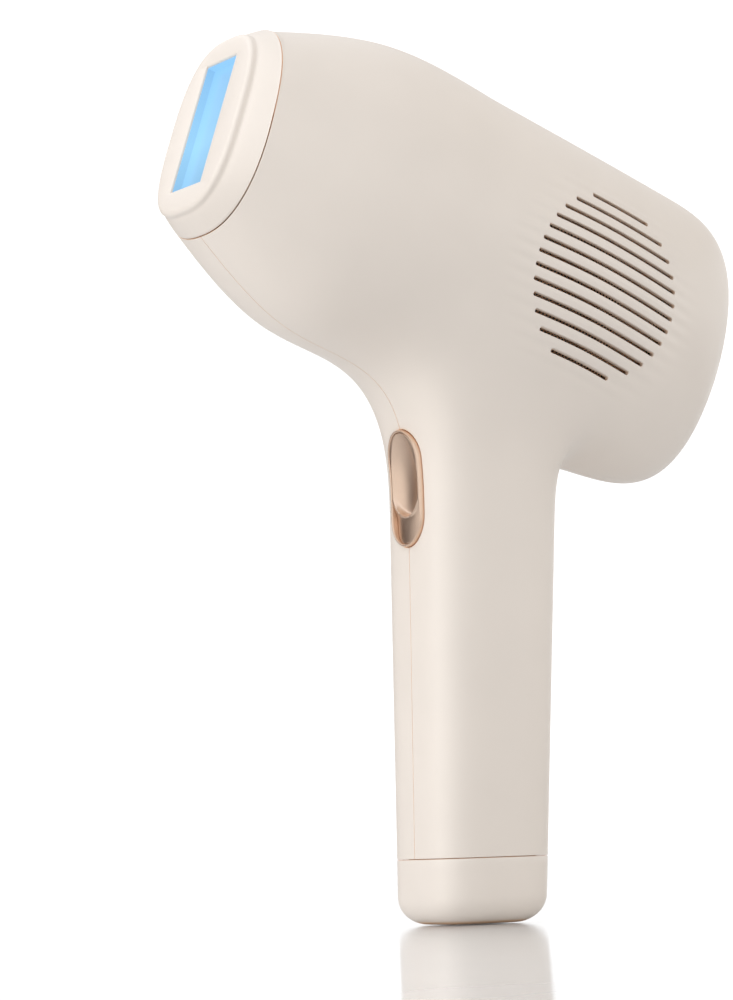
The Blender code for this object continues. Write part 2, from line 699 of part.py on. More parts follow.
def make_heat_sink():
    """Extruded comb of fins behind the lamp socket."""
    fins = 8
    width = 34 * MM
    base = 4 * MM
    tall = 16 * MM
    thick = 1.4 * MM
    pitch = (width - thick) / (fins - 1)
    outline = [(width / 2, 0), (-width / 2, 0)]
    for k in range(fins):
        left = -width / 2 + k * pitch
        outline += [(left, base if k else tall), (left, tall), (left + thick, tall)]
        if k < fins - 1:
            outline.append((left + thick, base))
    points = []
    for point in outline:
        if not points or point != points[-1]:
            points.append(point)
    curve = bpy.data.curves.new("heat_sink_outline", 'CURVE')
    curve.dimensions = '2D'
    curve.fill_mode = 'BOTH'
    curve.extrude = 14 * MM
    line = curve.splines.new('POLY')
    line.points.add(len(points) - 1)
    for slot, (x, y) in zip(line.points, points):
        slot.co = (x, y, 0, 1)
    line.use_cyclic_u = True
    holder = bpy.data.objects.new("heat_sink_outline", curve)
    CUTTERS.objects.link(holder)
    mesh = evaluated(holder, "heat_sink")
    bpy.data.objects.remove(holder, do_unlink=True)
    bm = bmesh.new()
    bm.from_mesh(mesh)
    bmesh.ops.remove_doubles(bm, verts=bm.verts[:], dist=0.00001)
    bm.to_mesh(mesh)
    bm.free()
    # fins run along the air's path: outline X becomes head v, outline Y becomes s
    basis = Matrix(((0, 1, 0, 38 * MM), (0, 0, 1, 0), (1, 0, 0, -2 * MM), (0, 0, 0, 1)))
    mesh.transform(basis)
    add("heat_sink", mesh, ALUMINIUM, HEAD)


def make_fan():
    """Axial fan between the two vents: frame, rotor on its shaft, four screws."""
    half = FAN_SIZE / 2
    depth = FAN_DEPTH / 2
    frame_mesh = box_mesh("fan_frame", (VENT_S - half, -depth, VENT_V - half),
                          (VENT_S + half, depth, VENT_V + half), 1.2 * MM)
    frame = add("fan_frame", frame_mesh, BLACK, HEAD, smooth=30)
    bore = half - 1.2 * MM
    floor = depth - 1.6 * MM         # the spider closes the side next to the left vent
    middle = (VENT_S, 0, VENT_V)
    duct = rod_mesh("fan_duct", bore, (VENT_S, -2 * depth, VENT_V), (VENT_S, 2 * depth, VENT_V), 32)
    combine(frame, cutter("fan_duct", duct, HEAD), 'DIFFERENCE')
    hub = rod_mesh("fan_hub", 9 * MM, (VENT_S, floor, VENT_V), (VENT_S, depth, VENT_V), 20)
    combine(frame, cutter("fan_hub", hub, HEAD), 'UNION')
    for k in range(3):
        low = (6 * MM, floor + 0.1 * MM, -MM)
        arm = box_mesh("fan_arm", low, (bore + MM, depth - 0.1 * MM, MM))
        turn = Matrix.Translation(middle) @ Matrix.Rotation(math.radians(30 + 120 * k), 4, 'Y')
        arm.transform(turn)
        combine(frame, cutter("fan_arm", arm, HEAD), 'UNION')
    hole = rod_mesh("shaft_hole", 1.4 * MM, (VENT_S, 0, VENT_V), (VENT_S, 2 * depth, VENT_V), 12)
    combine(frame, cutter("shaft_hole", hole, HEAD), 'DIFFERENCE')
    for i, (s, v) in enumerate(fan_corners()):
        hole = rod_mesh("screw_hole", 1.2 * MM + GAP, (s, -2 * depth, v), (s, 2 * depth, v), 10)
        combine(frame, cutter("screw_hole", hole, HEAD), 'DIFFERENCE')
        make_fan_screw(f"fan_screw_{i + 1}", s, v)
    shaft = rod_mesh("fan_shaft", 1.0 * MM, (0, -2.5 * MM, 0), (0, depth + 0.5 * MM, 0), 12)
    axle = bpy.data.objects.new("fan_axle", None)
    AXES.objects.link(axle)
    axle.parent = HEAD
    axle.location = middle
    add("fan_shaft", shaft, STEEL, axle, smooth=40)
    make_rotor(axle, bore - 0.9 * MM, depth, floor)


def make_rotor(axle, tip, depth, floor):
    """Hub cup with twisted blades, turning about the fan's axis."""
    rear = floor - 2 * GAP
    front = -depth + 0.6 * MM
    hub = rod_mesh("fan_rotor", 8 * MM, (0, front, 0), (0, rear, 0), 21)
    rotor = add("fan_rotor", hub, GREY, axle, smooth=35)
    bore = rod_mesh("rotor_bore", 1.0 * MM + GAP, (0, front + MM, 0), (0, 2 * depth, 0), 12)
    for k in range(FAN_BLADES):
        blade = box_mesh("fan_blade", (7 * MM, -0.5 * MM, -3.4 * MM), (tip, 0.5 * MM, 3.4 * MM))
        pitch = Matrix.Rotation(math.radians(38), 4, 'X')
        middle = Matrix.Translation((0, (front + rear) / 2, 0))
        spin = Matrix.Rotation(math.tau * k / FAN_BLADES, 4, 'Y')
        blade.transform(middle @ spin @ pitch)
        combine(rotor, cutter("fan_blade", blade, axle), 'UNION')
    combine(rotor, cutter("rotor_bore", bore, axle), 'DIFFERENCE')


def make_fan_screw(name, s, v):
    """Pan-head screw through a corner of the fan frame into its post."""
    start = -FAN_DEPTH / 2 - GAP
    place = Matrix.Translation((s, start, v)) @ Matrix.Rotation(math.radians(90), 4, 'X')
    length = 15 * MM
    profile = ((0, 1.5 * MM), (1.4 * MM, 1.4 * MM), (2.2 * MM, 0.8 * MM), (2.2 * MM, 0),
               (1.2 * MM, 0), (1.2 * MM, -length), (0, -length - 0.6 * MM))
    add(name, turned_mesh(name, profile, place, 10), STEEL, HEAD, smooth=40)


def make_vent_screens():
    """Thin screens that line the inside of the shells behind the slots."""
    inset = WALL + 2 * GAP
    radius = VENT_RADIUS + 1.5 * MM
    around = 24
    for name, side in (("right_vent_screen", -1), ("left_vent_screen", 1)):
        bm = bmesh.new()
        rings = []
        for share in (0.2, 0.6, 1.0):
            ring = []
            for k in range(around):
                turn = math.tau * k / around
                s = VENT_S + radius * share * math.cos(turn)
                v = VENT_V + radius * share * math.sin(turn)
                ring.append((s, v))
            rings.append(ring)
        flat = np.array([point for ring in rings for point in ring])
        start = to_world(flat[:, 0], np.full(len(flat), side * 28 * MM), flat[:, 1])
        placed = onto_body(start, inset, direction=(0, 1, 0))
        rows = [[bm.verts.new(placed[i * around + k]) for k in range(around)] for i in range(3)]
        bm.faces.new(rows[0])
        for inner, outer in zip(rows, rows[1:]):
            for k in range(around):
                after = (k + 1) % around
                bm.faces.new((inner[k], inner[after], outer[after], outer[k]))
        mesh = mesh_from(bm, name)
        screen = add(name, mesh, ROSE_GOLD, smooth=40)
        wall = screen.modifiers.new("wall", 'SOLIDIFY')
        wall.thickness = MESH_THICK
        outward = mesh.polygons[0].normal.y * side > 0
        wall.offset = -1 if outward else 1
        if side > 0:
            for s, v in fan_corners():
                notch = rod_mesh("notch", 3 * MM + GAP, (s, 10 * MM, v), (s, 50 * MM, v), 12)
                combine(screen, cutter("notch", notch, HEAD), 'DIFFERENCE')


# ---------------------------------------------------------------- flash button

def capsule(half_width, half_height, arc=7):
    """Points (y, z) round an upright capsule about the button's centre."""
    straight = half_height - half_width
    points = []
    for k in range(arc + 1):
        turn = math.pi * k / arc
        points.append((half_width * math.cos(turn), straight + half_width * math.sin(turn)))
    for part in (0.5, 0, -0.5):
        points.append((-half_width, straight * part))
    for k in range(arc + 1):
        turn = math.pi * (1 + k / arc)
        points.append((half_width * math.cos(turn), -straight + half_width * math.sin(turn)))
    for part in (-0.5, 0, 0.5):
        points.append((half_width, straight * part))
    return points


def front_x(y, z):
    """Depth of the handle's front surface at a sideways place and a height."""
    start = np.stack([np.full(len(y), -20 * MM), y, z], axis=1)
    return onto_body(start, direction=(1, 0, 0))[:, 0]


def capsule_loop(half_width, half_height, depth):
    """Capsule that follows the handle's surface, pushed in by a depth."""
    outline = np.array(capsule(half_width, half_height))
    y = outline[:, 0]
    z = outline[:, 1] + BUTTON_Z
    return np.stack([front_x(y, z) + depth, y, z], axis=1)


def capsule_cutter(name, half_width, half_height):
    loops = [capsule_loop(half_width, half_height, -6 * MM),
             capsule_loop(half_width, half_height, 7 * MM)]
    return cutter(name, loft_mesh(name, loops))


def make_button():
    """Rose-gold bezel, scooped button, its plunger, switch and board."""
    outer = BEZEL_HALF
    inner = (outer[0] - BEZEL_WALL, outer[1] - BEZEL_WALL)
    proud = 1.0 * MM
    back = 3.6 * MM
    bezel = [capsule_loop(*outer, back), capsule_loop(*outer, 0.3 * MM - proud),
             capsule_loop(outer[0] - 0.3 * MM, outer[1] - 0.3 * MM, -proud),
             capsule_loop(inner[0] + 0.2 * MM, inner[1] + 0.2 * MM, -proud),
             capsule_loop(*inner, 0.2 * MM), capsule_loop(*inner, back)]
    add("button_bezel", loft_mesh("button_bezel", bezel, closed=True), ROSE_GOLD, smooth=35)

    def loop(inset, depth):
        return capsule_loop(inner[0] - GAP - inset, inner[1] - GAP - inset, depth)

    flange = -1.0 * MM
    seat = back + GAP
    stop = seat + MM
    button = [loop(flange, stop), loop(flange, seat), loop(0, seat), loop(0, 0.5 * MM),
              loop(0.3 * MM, 0.2 * MM), loop(0.9 * MM, 0.2 * MM), loop(2.2 * MM, 1.1 * MM),
              loop(4.0 * MM, 1.7 * MM)]
    add("flash_button", loft_mesh("flash_button", button), ROSE_GOLD, smooth=50)
    y = np.zeros(1)
    rear = front_x(y, y + BUTTON_Z)[0] + stop + 0.8 * MM
    switch_face = rear + 3.0 * MM
    z = BUTTON_Z
    stem = 1.4 * MM
    tip = (switch_face + 0.6 * MM, 0, z)
    plunger = rod_mesh("trigger_plunger", stem, (rear + GAP, 0, z), tip, 12)
    add("trigger_plunger", plunger, GREY, smooth=40)
    body = box_mesh("trigger_switch", (switch_face, -4 * MM, z - 4 * MM),
                    (switch_face + 4 * MM, 4 * MM, z + 4 * MM), 0.5 * MM)
    switch = add("trigger_switch", body, BLACK)
    end = (switch_face + 2.4 * MM, 0, z)
    bore = rod_mesh("plunger_bore", stem + GAP, (switch_face - MM, 0, z), end, 12)
    combine(switch, cutter("plunger_bore", bore), 'DIFFERENCE')
    board_face = switch_face + 4 * MM + GAP
    board = box_mesh("button_board", (board_face, -9 * MM, z - 16 * MM),
                     (board_face + 1.6 * MM, 9 * MM, z + 16 * MM))
    add("button_board", board, BOARD)


# ---------------------------------------------------------------- electronics

def make_electronics():
    """Main board with its parts, trigger coil, and the store capacitor."""
    board_y = 16 * MM
    s0 = 40 * MM
    s1 = 76 * MM
    board = add("main_board", box_mesh("main_board", (s0, board_y, -22 * MM),
                                       (s1, board_y + 1.6 * MM, 22 * MM)), BOARD, HEAD)
    chips = ((46, 8, 10, 10, 2.2), (62, 10, 8, 14, 3), (50, -10, 12, 8, 4), (68, -12, 6, 6, 6))
    for s, v, long, wide, tall in chips:
        low = ((s - long / 2) * MM, board_y + MM, (v - wide / 2) * MM)
        high = ((s + long / 2) * MM, board_y + (1.6 + tall) * MM, (v + wide / 2) * MM)
        combine(board, cutter("chip", box_mesh("chip", low, high), HEAD), 'UNION')
    radius = 8 * MM
    coil = ((0, 9 * MM), (radius, 9 * MM), (radius, 7 * MM), (radius - 1.5 * MM, 7 * MM),
            (radius - 1.5 * MM, -7 * MM), (radius, -7 * MM), (radius, -9 * MM), (0, -9 * MM))
    place = Matrix.Translation((67 * MM, -14 * MM, 6 * MM))
    add("trigger_coil", turned_mesh("trigger_coil", coil, place, 20), COPPER, HEAD, smooth=40)
    store = 11 * MM
    top = 84 * MM
    low = 26 * MM
    profile = ((0, top), (store - 1.5 * MM, top), (store, top - 1.2 * MM),
               (store, low + 7 * MM), (store - 0.8 * MM, low + 6 * MM),
               (store, low + 5 * MM), (store, low + MM), (store - MM, low), (0, low))
    place = Matrix.Translation((grip_centre(55 * MM), 0, 0))
    add("store_capacitor", turned_mesh("store_capacitor", profile, place, 24), BLUE, smooth=40)


clear_scene()
PARTS = collection("ipl_hair_remover")
CUTTERS = collection("cutters")
AXES = collection("axes")
IVORY = material("ivory_plastic", (0.87, 0.80, 0.73), 0.42)
ROSE_GOLD = material("rose_gold", (0.80, 0.55, 0.42), 0.28, 0.9)
GLASS = material("filter_glass", (0.55, 0.80, 0.98), 0.08)
SILVER = material("bright_reflector", (0.90, 0.91, 0.93), 0.12, 1.0)
CERAMIC = material("white_ceramic", (0.90, 0.89, 0.86), 0.5)
BLACK = material("black_plastic", (0.03, 0.03, 0.03), 0.5)
GREY = material("grey_plastic", (0.25, 0.25, 0.26), 0.5)
SMOKE = material("smoked_lens", (0.03, 0.03, 0.04), 0.1)
BRASS = material("contact_brass", (0.80, 0.62, 0.30), 0.3, 1.0)
ALUMINIUM = material("fin_aluminium", (0.78, 0.79, 0.80), 0.4, 1.0)
STEEL = material("screw_steel", (0.62, 0.63, 0.65), 0.35, 1.0)
BOARD = material("board_green", (0.03, 0.20, 0.10), 0.45)
COPPER = material("coil_copper", (0.72, 0.40, 0.22), 0.4, 0.8)
BLUE = material("capacitor_sleeve", (0.05, 0.10, 0.22), 0.35)

HEAD = bpy.data.objects.new("head_axis", None)
AXES.objects.link(HEAD)
HEAD.location = (NOSE_X, 0, NOSE_Z)
HEAD.rotation_euler = (0, HEAD_TILT, 0)
INSIDE = inside_body()

make_shells()
make_bottom_cap()
make_inlet()
make_rear_panel()
make_nose()
make_lamp()
make_heat_sink()
make_fan()
make_vent_screens()
make_button()
make_electronics()
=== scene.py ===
"""Looks of the IPL hair remover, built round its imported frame.

The body surface is the same formula as the frame's: a head of superellipse sections
on a tilted axis, joined to an upright handle by a soft fillet.
"""
import math

import bmesh
import bpy
import numpy as np
from mathutils import Matrix, Vector


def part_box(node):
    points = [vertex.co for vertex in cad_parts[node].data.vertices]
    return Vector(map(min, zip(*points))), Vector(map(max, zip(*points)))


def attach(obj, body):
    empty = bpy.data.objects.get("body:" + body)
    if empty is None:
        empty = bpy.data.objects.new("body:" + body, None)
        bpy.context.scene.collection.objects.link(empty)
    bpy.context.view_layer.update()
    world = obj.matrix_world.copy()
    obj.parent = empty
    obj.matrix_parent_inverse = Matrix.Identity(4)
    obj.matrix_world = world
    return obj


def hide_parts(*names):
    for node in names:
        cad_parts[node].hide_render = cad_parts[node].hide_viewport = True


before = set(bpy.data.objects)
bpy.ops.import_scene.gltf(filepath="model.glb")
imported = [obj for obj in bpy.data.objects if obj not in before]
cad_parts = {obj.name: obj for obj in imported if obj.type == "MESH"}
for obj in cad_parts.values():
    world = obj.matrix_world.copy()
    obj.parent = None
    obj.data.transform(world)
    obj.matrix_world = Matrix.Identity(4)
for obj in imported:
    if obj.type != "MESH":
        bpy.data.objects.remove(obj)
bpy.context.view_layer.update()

MM = 0.001
WALL = 2.2 * MM
PART_GAP = 0.11 * MM                 # visible seam between two mouldings

NOSE_X = -66.2 * MM
NOSE_Z = 191.3 * MM
HEAD_TILT = math.radians(18.9)
HEAD_LENGTH = 148.8 * MM
END_ROUND = 28 * MM
END_POWER = 3.4
# distance from the face, centre height, half height, half width, section power
HEAD_STATIONS = np.array([
    (6.4 * MM, 0.6 * MM, 25.8 * MM, 25.3 * MM, 2.45),
    (35 * MM, -1.7 * MM, 36.7 * MM, 32.9 * MM, 2.3),
    (65 * MM, -2.6 * MM, 37.0 * MM, 35.2 * MM, 2.05),
    (95 * MM, -6.2 * MM, 38.6 * MM, 34.6 * MM, 2.0),
    (122 * MM, -6.4 * MM, 37.5 * MM, 27.2 * MM, 2.0),
    (148.8 * MM, -6.6 * MM, 36.4 * MM, 18.0 * MM, 2.0),
])
SEAM_TILT = math.radians(-2.1)

SEAM_Z = 15.8 * MM
GRIP_Z = 110 * MM
GRIP_BOTTOM = (16.0 * MM, 15.7 * MM)
GRIP_TOP = (18.0 * MM, 17.4 * MM)
GRIP_LEAN = 4.5 * MM
GRIP_POWER = 3.7
GRIP_CORE_TOP = 150 * MM
BLEND_FRONT = 31 * MM
BLEND_SIDE = 26 * MM
BLEND_REAR = 10 * MM
BASE_ROUND = 6.5 * MM

WINDOW = (33.0 * MM, 16.4 * MM)
WINDOW_UP = 0.7 * MM
FACE_HALF = (22.9 * MM, 18.8 * MM)
FACE_POWER = 2.9
FACE_UP = 0.4 * MM

VENT_S = 99.7 * MM
VENT_V = -7.1 * MM
VENT_RADIUS = 22.3 * MM
VENT_PITCH = 3.37 * MM
VENT_COUNT = 13
VENT_WIDTH = 1.0 * MM
VENT_ROUND = 0.16 * MM
VENT_WALL = 1.3 * MM                # the shells are thinner round the vents
VENT_POCKET = 3.5 * MM               # how far past the slots they are thinner
RIPPLE_DEPTH = 0.20 * MM
RIPPLE_FADE = 11 * MM
FLANK = 8 * MM                       # sideways place where the head's flanks begin
WIRE = 0.13 * MM

BUTTON_Z = 105.4 * MM
BEZEL_HALF = (7.3 * MM, 14.2 * MM)
BEZEL_WALL = 0.65 * MM
PANEL_SCALE = 0.53
PANEL_DOME = 0.9 * MM
SCREEN_HALF = (6.5 * MM, 5 * MM)
SCREEN_UP = 5.5 * MM
LEVEL_PITCH = 1.7 * MM               # spacing of the display's level lights
POWER_RADIUS = 5.2 * MM
POWER_V = -15.5 * MM
INLET_RADIUS = 3.2 * MM

RIM_BAND = 0.3 * MM                  # points this near the foot seam belong to it
EDGE_ROUND = 0.16 * MM
RING = 16                            # points round one loop of the body cage
AROUND = 128                         # points round one loop of a fine lofted piece
LIGHT_FROM = (-0.86, 0.20, 0.46)
DARK_FROM = (-0.37, 0.90, 0.20)      # a dark flag stands out of view behind the metal
DARK_SIDE = (0.44, 0.37, 0.28)
BRIGHT_SIDE = (1.25, 1.31, 1.40)
HORIZON = (1.18, 1.18, 1.18)
DARK_FLAG = (0.055, 0.028, 0.018)
LAMP_PLACE = Vector((-1.15, 0.34, 0.10))
LAMP_TARGET = Vector((0, 0, 0.12))
LAMP_SIZE = (0.9, 0.8)
LAMP_POWER = 7.5
CAMERA_ANGLES = (28.452, -5.227, -1.924)      # turn, rise and roll in degrees
CAMERA_TARGET = Vector((-25.159, 0, 102.444)) * MM
CAMERA_DISTANCE = 906.928 * MM
CAMERA_LENS = 135.44
NOISE_SPAN = (0.3, 0.7)              # where nearly all of a noise's values lie
LEVELS = 3      # subdivision of the body cage

SCENE = bpy.context.scene
HEAD_PLACE = Matrix.Translation((NOSE_X, 0, NOSE_Z)) @ Matrix.Rotation(HEAD_TILT, 4, 'Y')


# ---------------------------------------------------------------- body surface

def spline(knots, values, at):
    """Natural cubic spline through the stations."""
    count = len(knots)
    span = np.diff(knots)
    matrix = np.eye(count)
    right = np.zeros(count)
    for i in range(1, count - 1):
        matrix[i, i - 1:i + 2] = span[i - 1], 2 * (span[i - 1] + span[i]), span[i]
        slopes = (values[i + 1] - values[i]) / span[i] - (values[i] - values[i - 1]) / span[i - 1]
        right[i] = 6 * slopes
    bend = np.linalg.solve(matrix, right)
    at = np.clip(at, knots[0], knots[-1])
    i = np.clip(np.searchsorted(knots, at) - 1, 0, count - 2)
    a = (knots[i + 1] - at) / span[i]
    b = 1 - a
    curve = (a ** 3 - a) * bend[i] + (b ** 3 - b) * bend[i + 1]
    return a * values[i] + b * values[i + 1] + curve * span[i] ** 2 / 6


def smooth(value):
    """Ease from 0 to 1 as a value goes from 0 to 1."""
    value = np.clip(value, 0, 1)
    return value * value * (3 - 2 * value)


def head_section(s):
    """Centre height, half height, half width and power at a distance from the face."""
    knots = HEAD_STATIONS[:, 0]
    sizes = [spline(knots, HEAD_STATIONS[:, column], s) for column in (1, 2, 3)]
    return (*sizes, np.interp(s, knots, HEAD_STATIONS[:, 4]))


def to_head(points):
    """World points to head coordinates (s back, y, v up)."""
    dx = points[:, 0] - NOSE_X
    dz = points[:, 2] - NOSE_Z
    s = math.cos(HEAD_TILT) * dx - math.sin(HEAD_TILT) * dz
    v = math.sin(HEAD_TILT) * dx + math.cos(HEAD_TILT) * dz
    return s, points[:, 1], v


def to_world(s, y, v):
    x = NOSE_X + math.cos(HEAD_TILT) * s + math.sin(HEAD_TILT) * v
    z = NOSE_Z - math.sin(HEAD_TILT) * s + math.cos(HEAD_TILT) * v
    return np.stack(np.broadcast_arrays(x, y, z), axis=-1)


def head_level(s, y, v):
    centre, half_height, half_width, power = head_section(s)
    radius = np.abs(y / half_width) ** power + np.abs((v - centre) / half_height) ** power
    radius = radius ** (1 / power)
    end = np.maximum((s - HEAD_LENGTH + END_ROUND) / END_ROUND, 0)
    level = (radius ** END_POWER + end ** END_POWER) ** (1 / END_POWER) - 1
    return level * np.minimum(half_height, half_width)


def grip_half(z):
    part = (z - SEAM_Z) / (GRIP_Z - SEAM_Z)
    half_x = GRIP_BOTTOM[0] + (GRIP_TOP[0] - GRIP_BOTTOM[0]) * part
    half_y = GRIP_BOTTOM[1] + (GRIP_TOP[1] - GRIP_BOTTOM[1]) * part
    return half_x, half_y


def grip_centre(z):
    return GRIP_LEAN * z / GRIP_Z


def grip_level(points):
    x, y, z = points.T
    half_x, half_y = grip_half(z)
    radius = np.abs((x - grip_centre(z)) / half_x) ** GRIP_POWER + np.abs(y / half_y) ** GRIP_POWER
    side = (radius ** (1 / GRIP_POWER) - 1) * half_x
    return np.maximum(side, z - GRIP_CORE_TOP)


def ripple(s, y, v):
    """Shallow flutes in line with the vent slots, fading out past their ends."""
    across = v - VENT_V
    reach = np.hypot(s - VENT_S, across)
    wave = 0.5 + 0.5 * np.cos(math.tau * across / VENT_PITCH)
    edge = VENT_PITCH * (VENT_COUNT / 2)
    inside = smooth((edge + VENT_PITCH - np.abs(across)) / VENT_PITCH)
    fade = 1 - smooth((reach - VENT_RADIUS) / RIPPLE_FADE)
    return RIPPLE_DEPTH * wave * inside * fade * smooth((np.abs(y) - FLANK) / (6 * MM))


def body_level(points):
    """Signed distance, nearly, to head and handle joined by a soft fillet."""
    s, y, v = to_head(points)
    head = head_level(s, y, v)
    grip = grip_level(points)
    x, _, z = points.T
    facing = np.cos(np.arctan2(np.abs(y), grip_centre(z) - x))
    ends = np.where(facing > 0, BLEND_FRONT, BLEND_REAR)
    blend = BLEND_SIDE + (ends - BLEND_SIDE) * facing ** 2
    share = np.maximum(blend - np.abs(head - grip), 0) / blend
    return np.minimum(head, grip) - share ** 3 * blend / 6 + ripple(s, y, v)


def slope(points):
    step = 0.02 * MM
    parts = []
    for axis in np.eye(3):
        ahead = body_level(points + axis * step)
        behind = body_level(points - axis * step)
        parts.append((ahead - behind) / (2 * step))
    return np.stack(parts, axis=1)


def onto_body(points, inset=0.0, direction=None, rounds=8):
    """Move points to the body surface, along its normal or a fixed direction."""
    points = np.array(points, dtype=float)
    for _ in range(rounds):
        steep = slope(points)
        size = np.linalg.norm(steep, axis=1)
        level = body_level(points) / size + inset
        if direction is None:
            points -= (level / size)[:, None] * steep
        else:
            along = steep @ np.array(direction) / size
            points -= (level / along)[:, None] * np.array(direction)
    return points


def oval(angles, half_width, half_height, power):
    """Points of a superellipse by angle: width across, height up."""
    c = np.cos(angles)
    s = np.sin(angles)
    across = half_width * np.sign(c) * np.abs(c) ** (2 / power)
    up = half_height * np.sign(s) * np.abs(s) ** (2 / power)
    return across, up


def head_ring(s, angles, lean=0.0, scale=1.0):
    """Loop of world points round the head."""
    centre, half_height, half_width, power = head_section(np.array([s]))
    y, v = oval(angles, half_width * scale, half_height * scale, power[0])
    return to_world(s + math.tan(lean) * v, y, v + centre)


def rim_loop(angles, base, inset=0.0, lean=1.0):
    """Loop round the head in the tilted plane of the nose seam, in head coordinates."""
    seam_centre = HEAD_STATIONS[0, 1]
    v = np.full(len(angles), seam_centre)
    for _ in range(6):
        s = base + math.tan(SEAM_TILT) * (v - seam_centre) * lean
        centre, half_height, half_width, power = head_section(s)
        y, v = oval(angles, half_width - inset, half_height - inset, power)
        v = v + centre
    return s, y, v


def onto_rim(points, base):
    """Scale points near the nose seam onto its tilted loop."""
    _, y, v = to_head(points)
    seam_centre = HEAD_STATIONS[0, 1]
    for _ in range(6):
        s = base + math.tan(SEAM_TILT) * (v - seam_centre)
        centre, half_height, half_width, power = head_section(s)
        radius = np.abs(y / half_width) ** power + np.abs((v - centre) / half_height) ** power
        scale = radius ** (-1 / power)
        y = y * scale
        v = centre + (v - centre) * scale
    return to_world(s, y, v)


def body_cage():
    """Coarse quad cage of head and handle, open at nose, rear panel and base."""
    angles = math.radians(-90) + np.arange(RING) * math.tau / RING
    front = [to_world(*rim_loop(angles, HEAD_STATIONS[0, 0] + PART_GAP / 2))]
    middle = [head_ring(s * MM, angles) for s in (12, 21, 33, 46, 58, 72, 86, 99, 111, 123)]
    rear = []
    for turn in (18, 36, 55):
        end = math.sin(math.radians(turn)) ** (2 / END_POWER)
        s = HEAD_LENGTH - END_ROUND * (1 - end)
        rear.append(head_ring(s, angles, scale=math.cos(math.radians(turn)) ** (2 / END_POWER)))
    rear.append(head_ring(panel_depth(), angles, scale=PANEL_SCALE))
    rings = front + middle + rear
    bm = bmesh.new()
    grid = [[bm.verts.new(point) for point in ring] for ring in rings]
    first, last, spread = 5, 9, 2
    for i in range(len(grid) - 1):
        for k in range(RING):
            under = first <= i < last and (k < spread or k >= RING - spread)
            if not under:
                after = (k + 1) % RING
                bm.faces.new((grid[i][k], grid[i][after], grid[i + 1][after], grid[i + 1][k]))
    edge = [grid[first][k] for k in range(spread)]
    edge += [grid[i][spread] for i in range(first, last)]
    edge += [grid[last][k] for k in range(spread, -spread, -1)]
    edge += [grid[i][-spread] for i in range(last, first, -1)]
    edge += [grid[first][k] for k in range(-spread, 0)]
    turn = math.pi - np.arange(RING) * math.tau / RING
    loops = [edge]
    for z in (96 * MM, 60 * MM, SEAM_Z + PART_GAP / 2):
        half_x, half_y = grip_half(z)
        x, y = oval(turn, half_x, half_y, GRIP_POWER)
        loops.append([bm.verts.new((grip_centre(z) + px, py, z)) for px, py in zip(x, y)])
    for share in (0.7, 0.4):
        loops.insert(1, [bm.verts.new(a.co.lerp(b.co, share)) for a, b in zip(edge, loops[-3])])
    bridge(bm, loops)
    return mesh_from(bm, "body_cage")


def panel_depth():
    """Distance along the head's axis where the rear panel meets the shells."""
    end = (1 - PANEL_SCALE ** END_POWER) ** (1 / END_POWER)
    return HEAD_LENGTH - END_ROUND * (1 - end)


def coordinates(mesh):
    flat = np.empty(len(mesh.vertices) * 3)
    mesh.vertices.foreach_get("co", flat)
    return flat.reshape(-1, 3)


def front_rim(mesh):
    """Vertices on the open edge at the nose."""
    bm = bmesh.new()
    bm.from_mesh(mesh)
    ahead = NOSE_X + 30 * MM
    found = [v.index for v in bm.verts if v.is_boundary and v.co.x < ahead and v.co.z > GRIP_Z]
    bm.free()
    return np.array(found)


def snap_to_body(mesh):
    """Put every vertex on the body surface, keeping the rims at their own level."""
    points = coordinates(mesh)
    moved = onto_body(points)
    low = points[:, 2] < SEAM_Z + RIM_BAND
    moved[low, 2] = points[low, 2]
    nose = front_rim(mesh)
    moved[nose] = onto_rim(points[nose], HEAD_STATIONS[0, 0] + PART_GAP / 2)
    mesh.vertices.foreach_set("co", moved.ravel())
    mesh.update()


# ---------------------------------------------------------------- mesh helpers

def mesh_from(bm, name):
    bmesh.ops.recalc_face_normals(bm, faces=bm.faces[:])
    mesh = bpy.data.meshes.new(name)
    bm.to_mesh(mesh)
    bm.free()
    return mesh


def evaluated(source, name):
    bpy.context.view_layer.update()
    graph = bpy.context.evaluated_depsgraph_get()
    mesh = bpy.data.meshes.new_from_object(source.evaluated_get(graph))
    mesh.name = name
    return mesh


def scratch(name, mesh):
    made = bpy.data.objects.new(name, mesh)
    SCENE.collection.objects.link(made)
    return made


def piece(name, mesh, finish, body, replaced=(), sharp=35):
    """Finished piece on a body, standing for its frame nodes."""
    made = bpy.data.objects.new(name, mesh)
    SCENE.collection.objects.link(made)
    mesh.materials.clear()
    mesh.materials.append(finish)
    if sharp:
        mesh.shade_smooth()
        mesh.set_sharp_from_angle(angle=math.radians(sharp))
    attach(made, body)
    if replaced:
        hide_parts(*replaced)
    return made


def bridge(bm, rows):
    """Quads between neighbouring loops of equal point count."""
    for upper, lower in zip(rows, rows[1:]):
        for k in range(len(upper)):
            after = (k + 1) % len(upper)
            bm.faces.new((upper[k], upper[after], lower[after], lower[k]))


def loft_mesh(name, loops, closed=False):
    """Skin over loops of equal point count: a ring when closed, else capped."""
    bm = bmesh.new()
    rows = [[bm.verts.new(point) for point in loop] for loop in loops]
    if closed:
        bridge(bm, rows + rows[:1])
    else:
        bridge(bm, rows)
        bm.faces.new(rows[0])
        bm.faces.new(rows[-1])
    return mesh_from(bm, name)


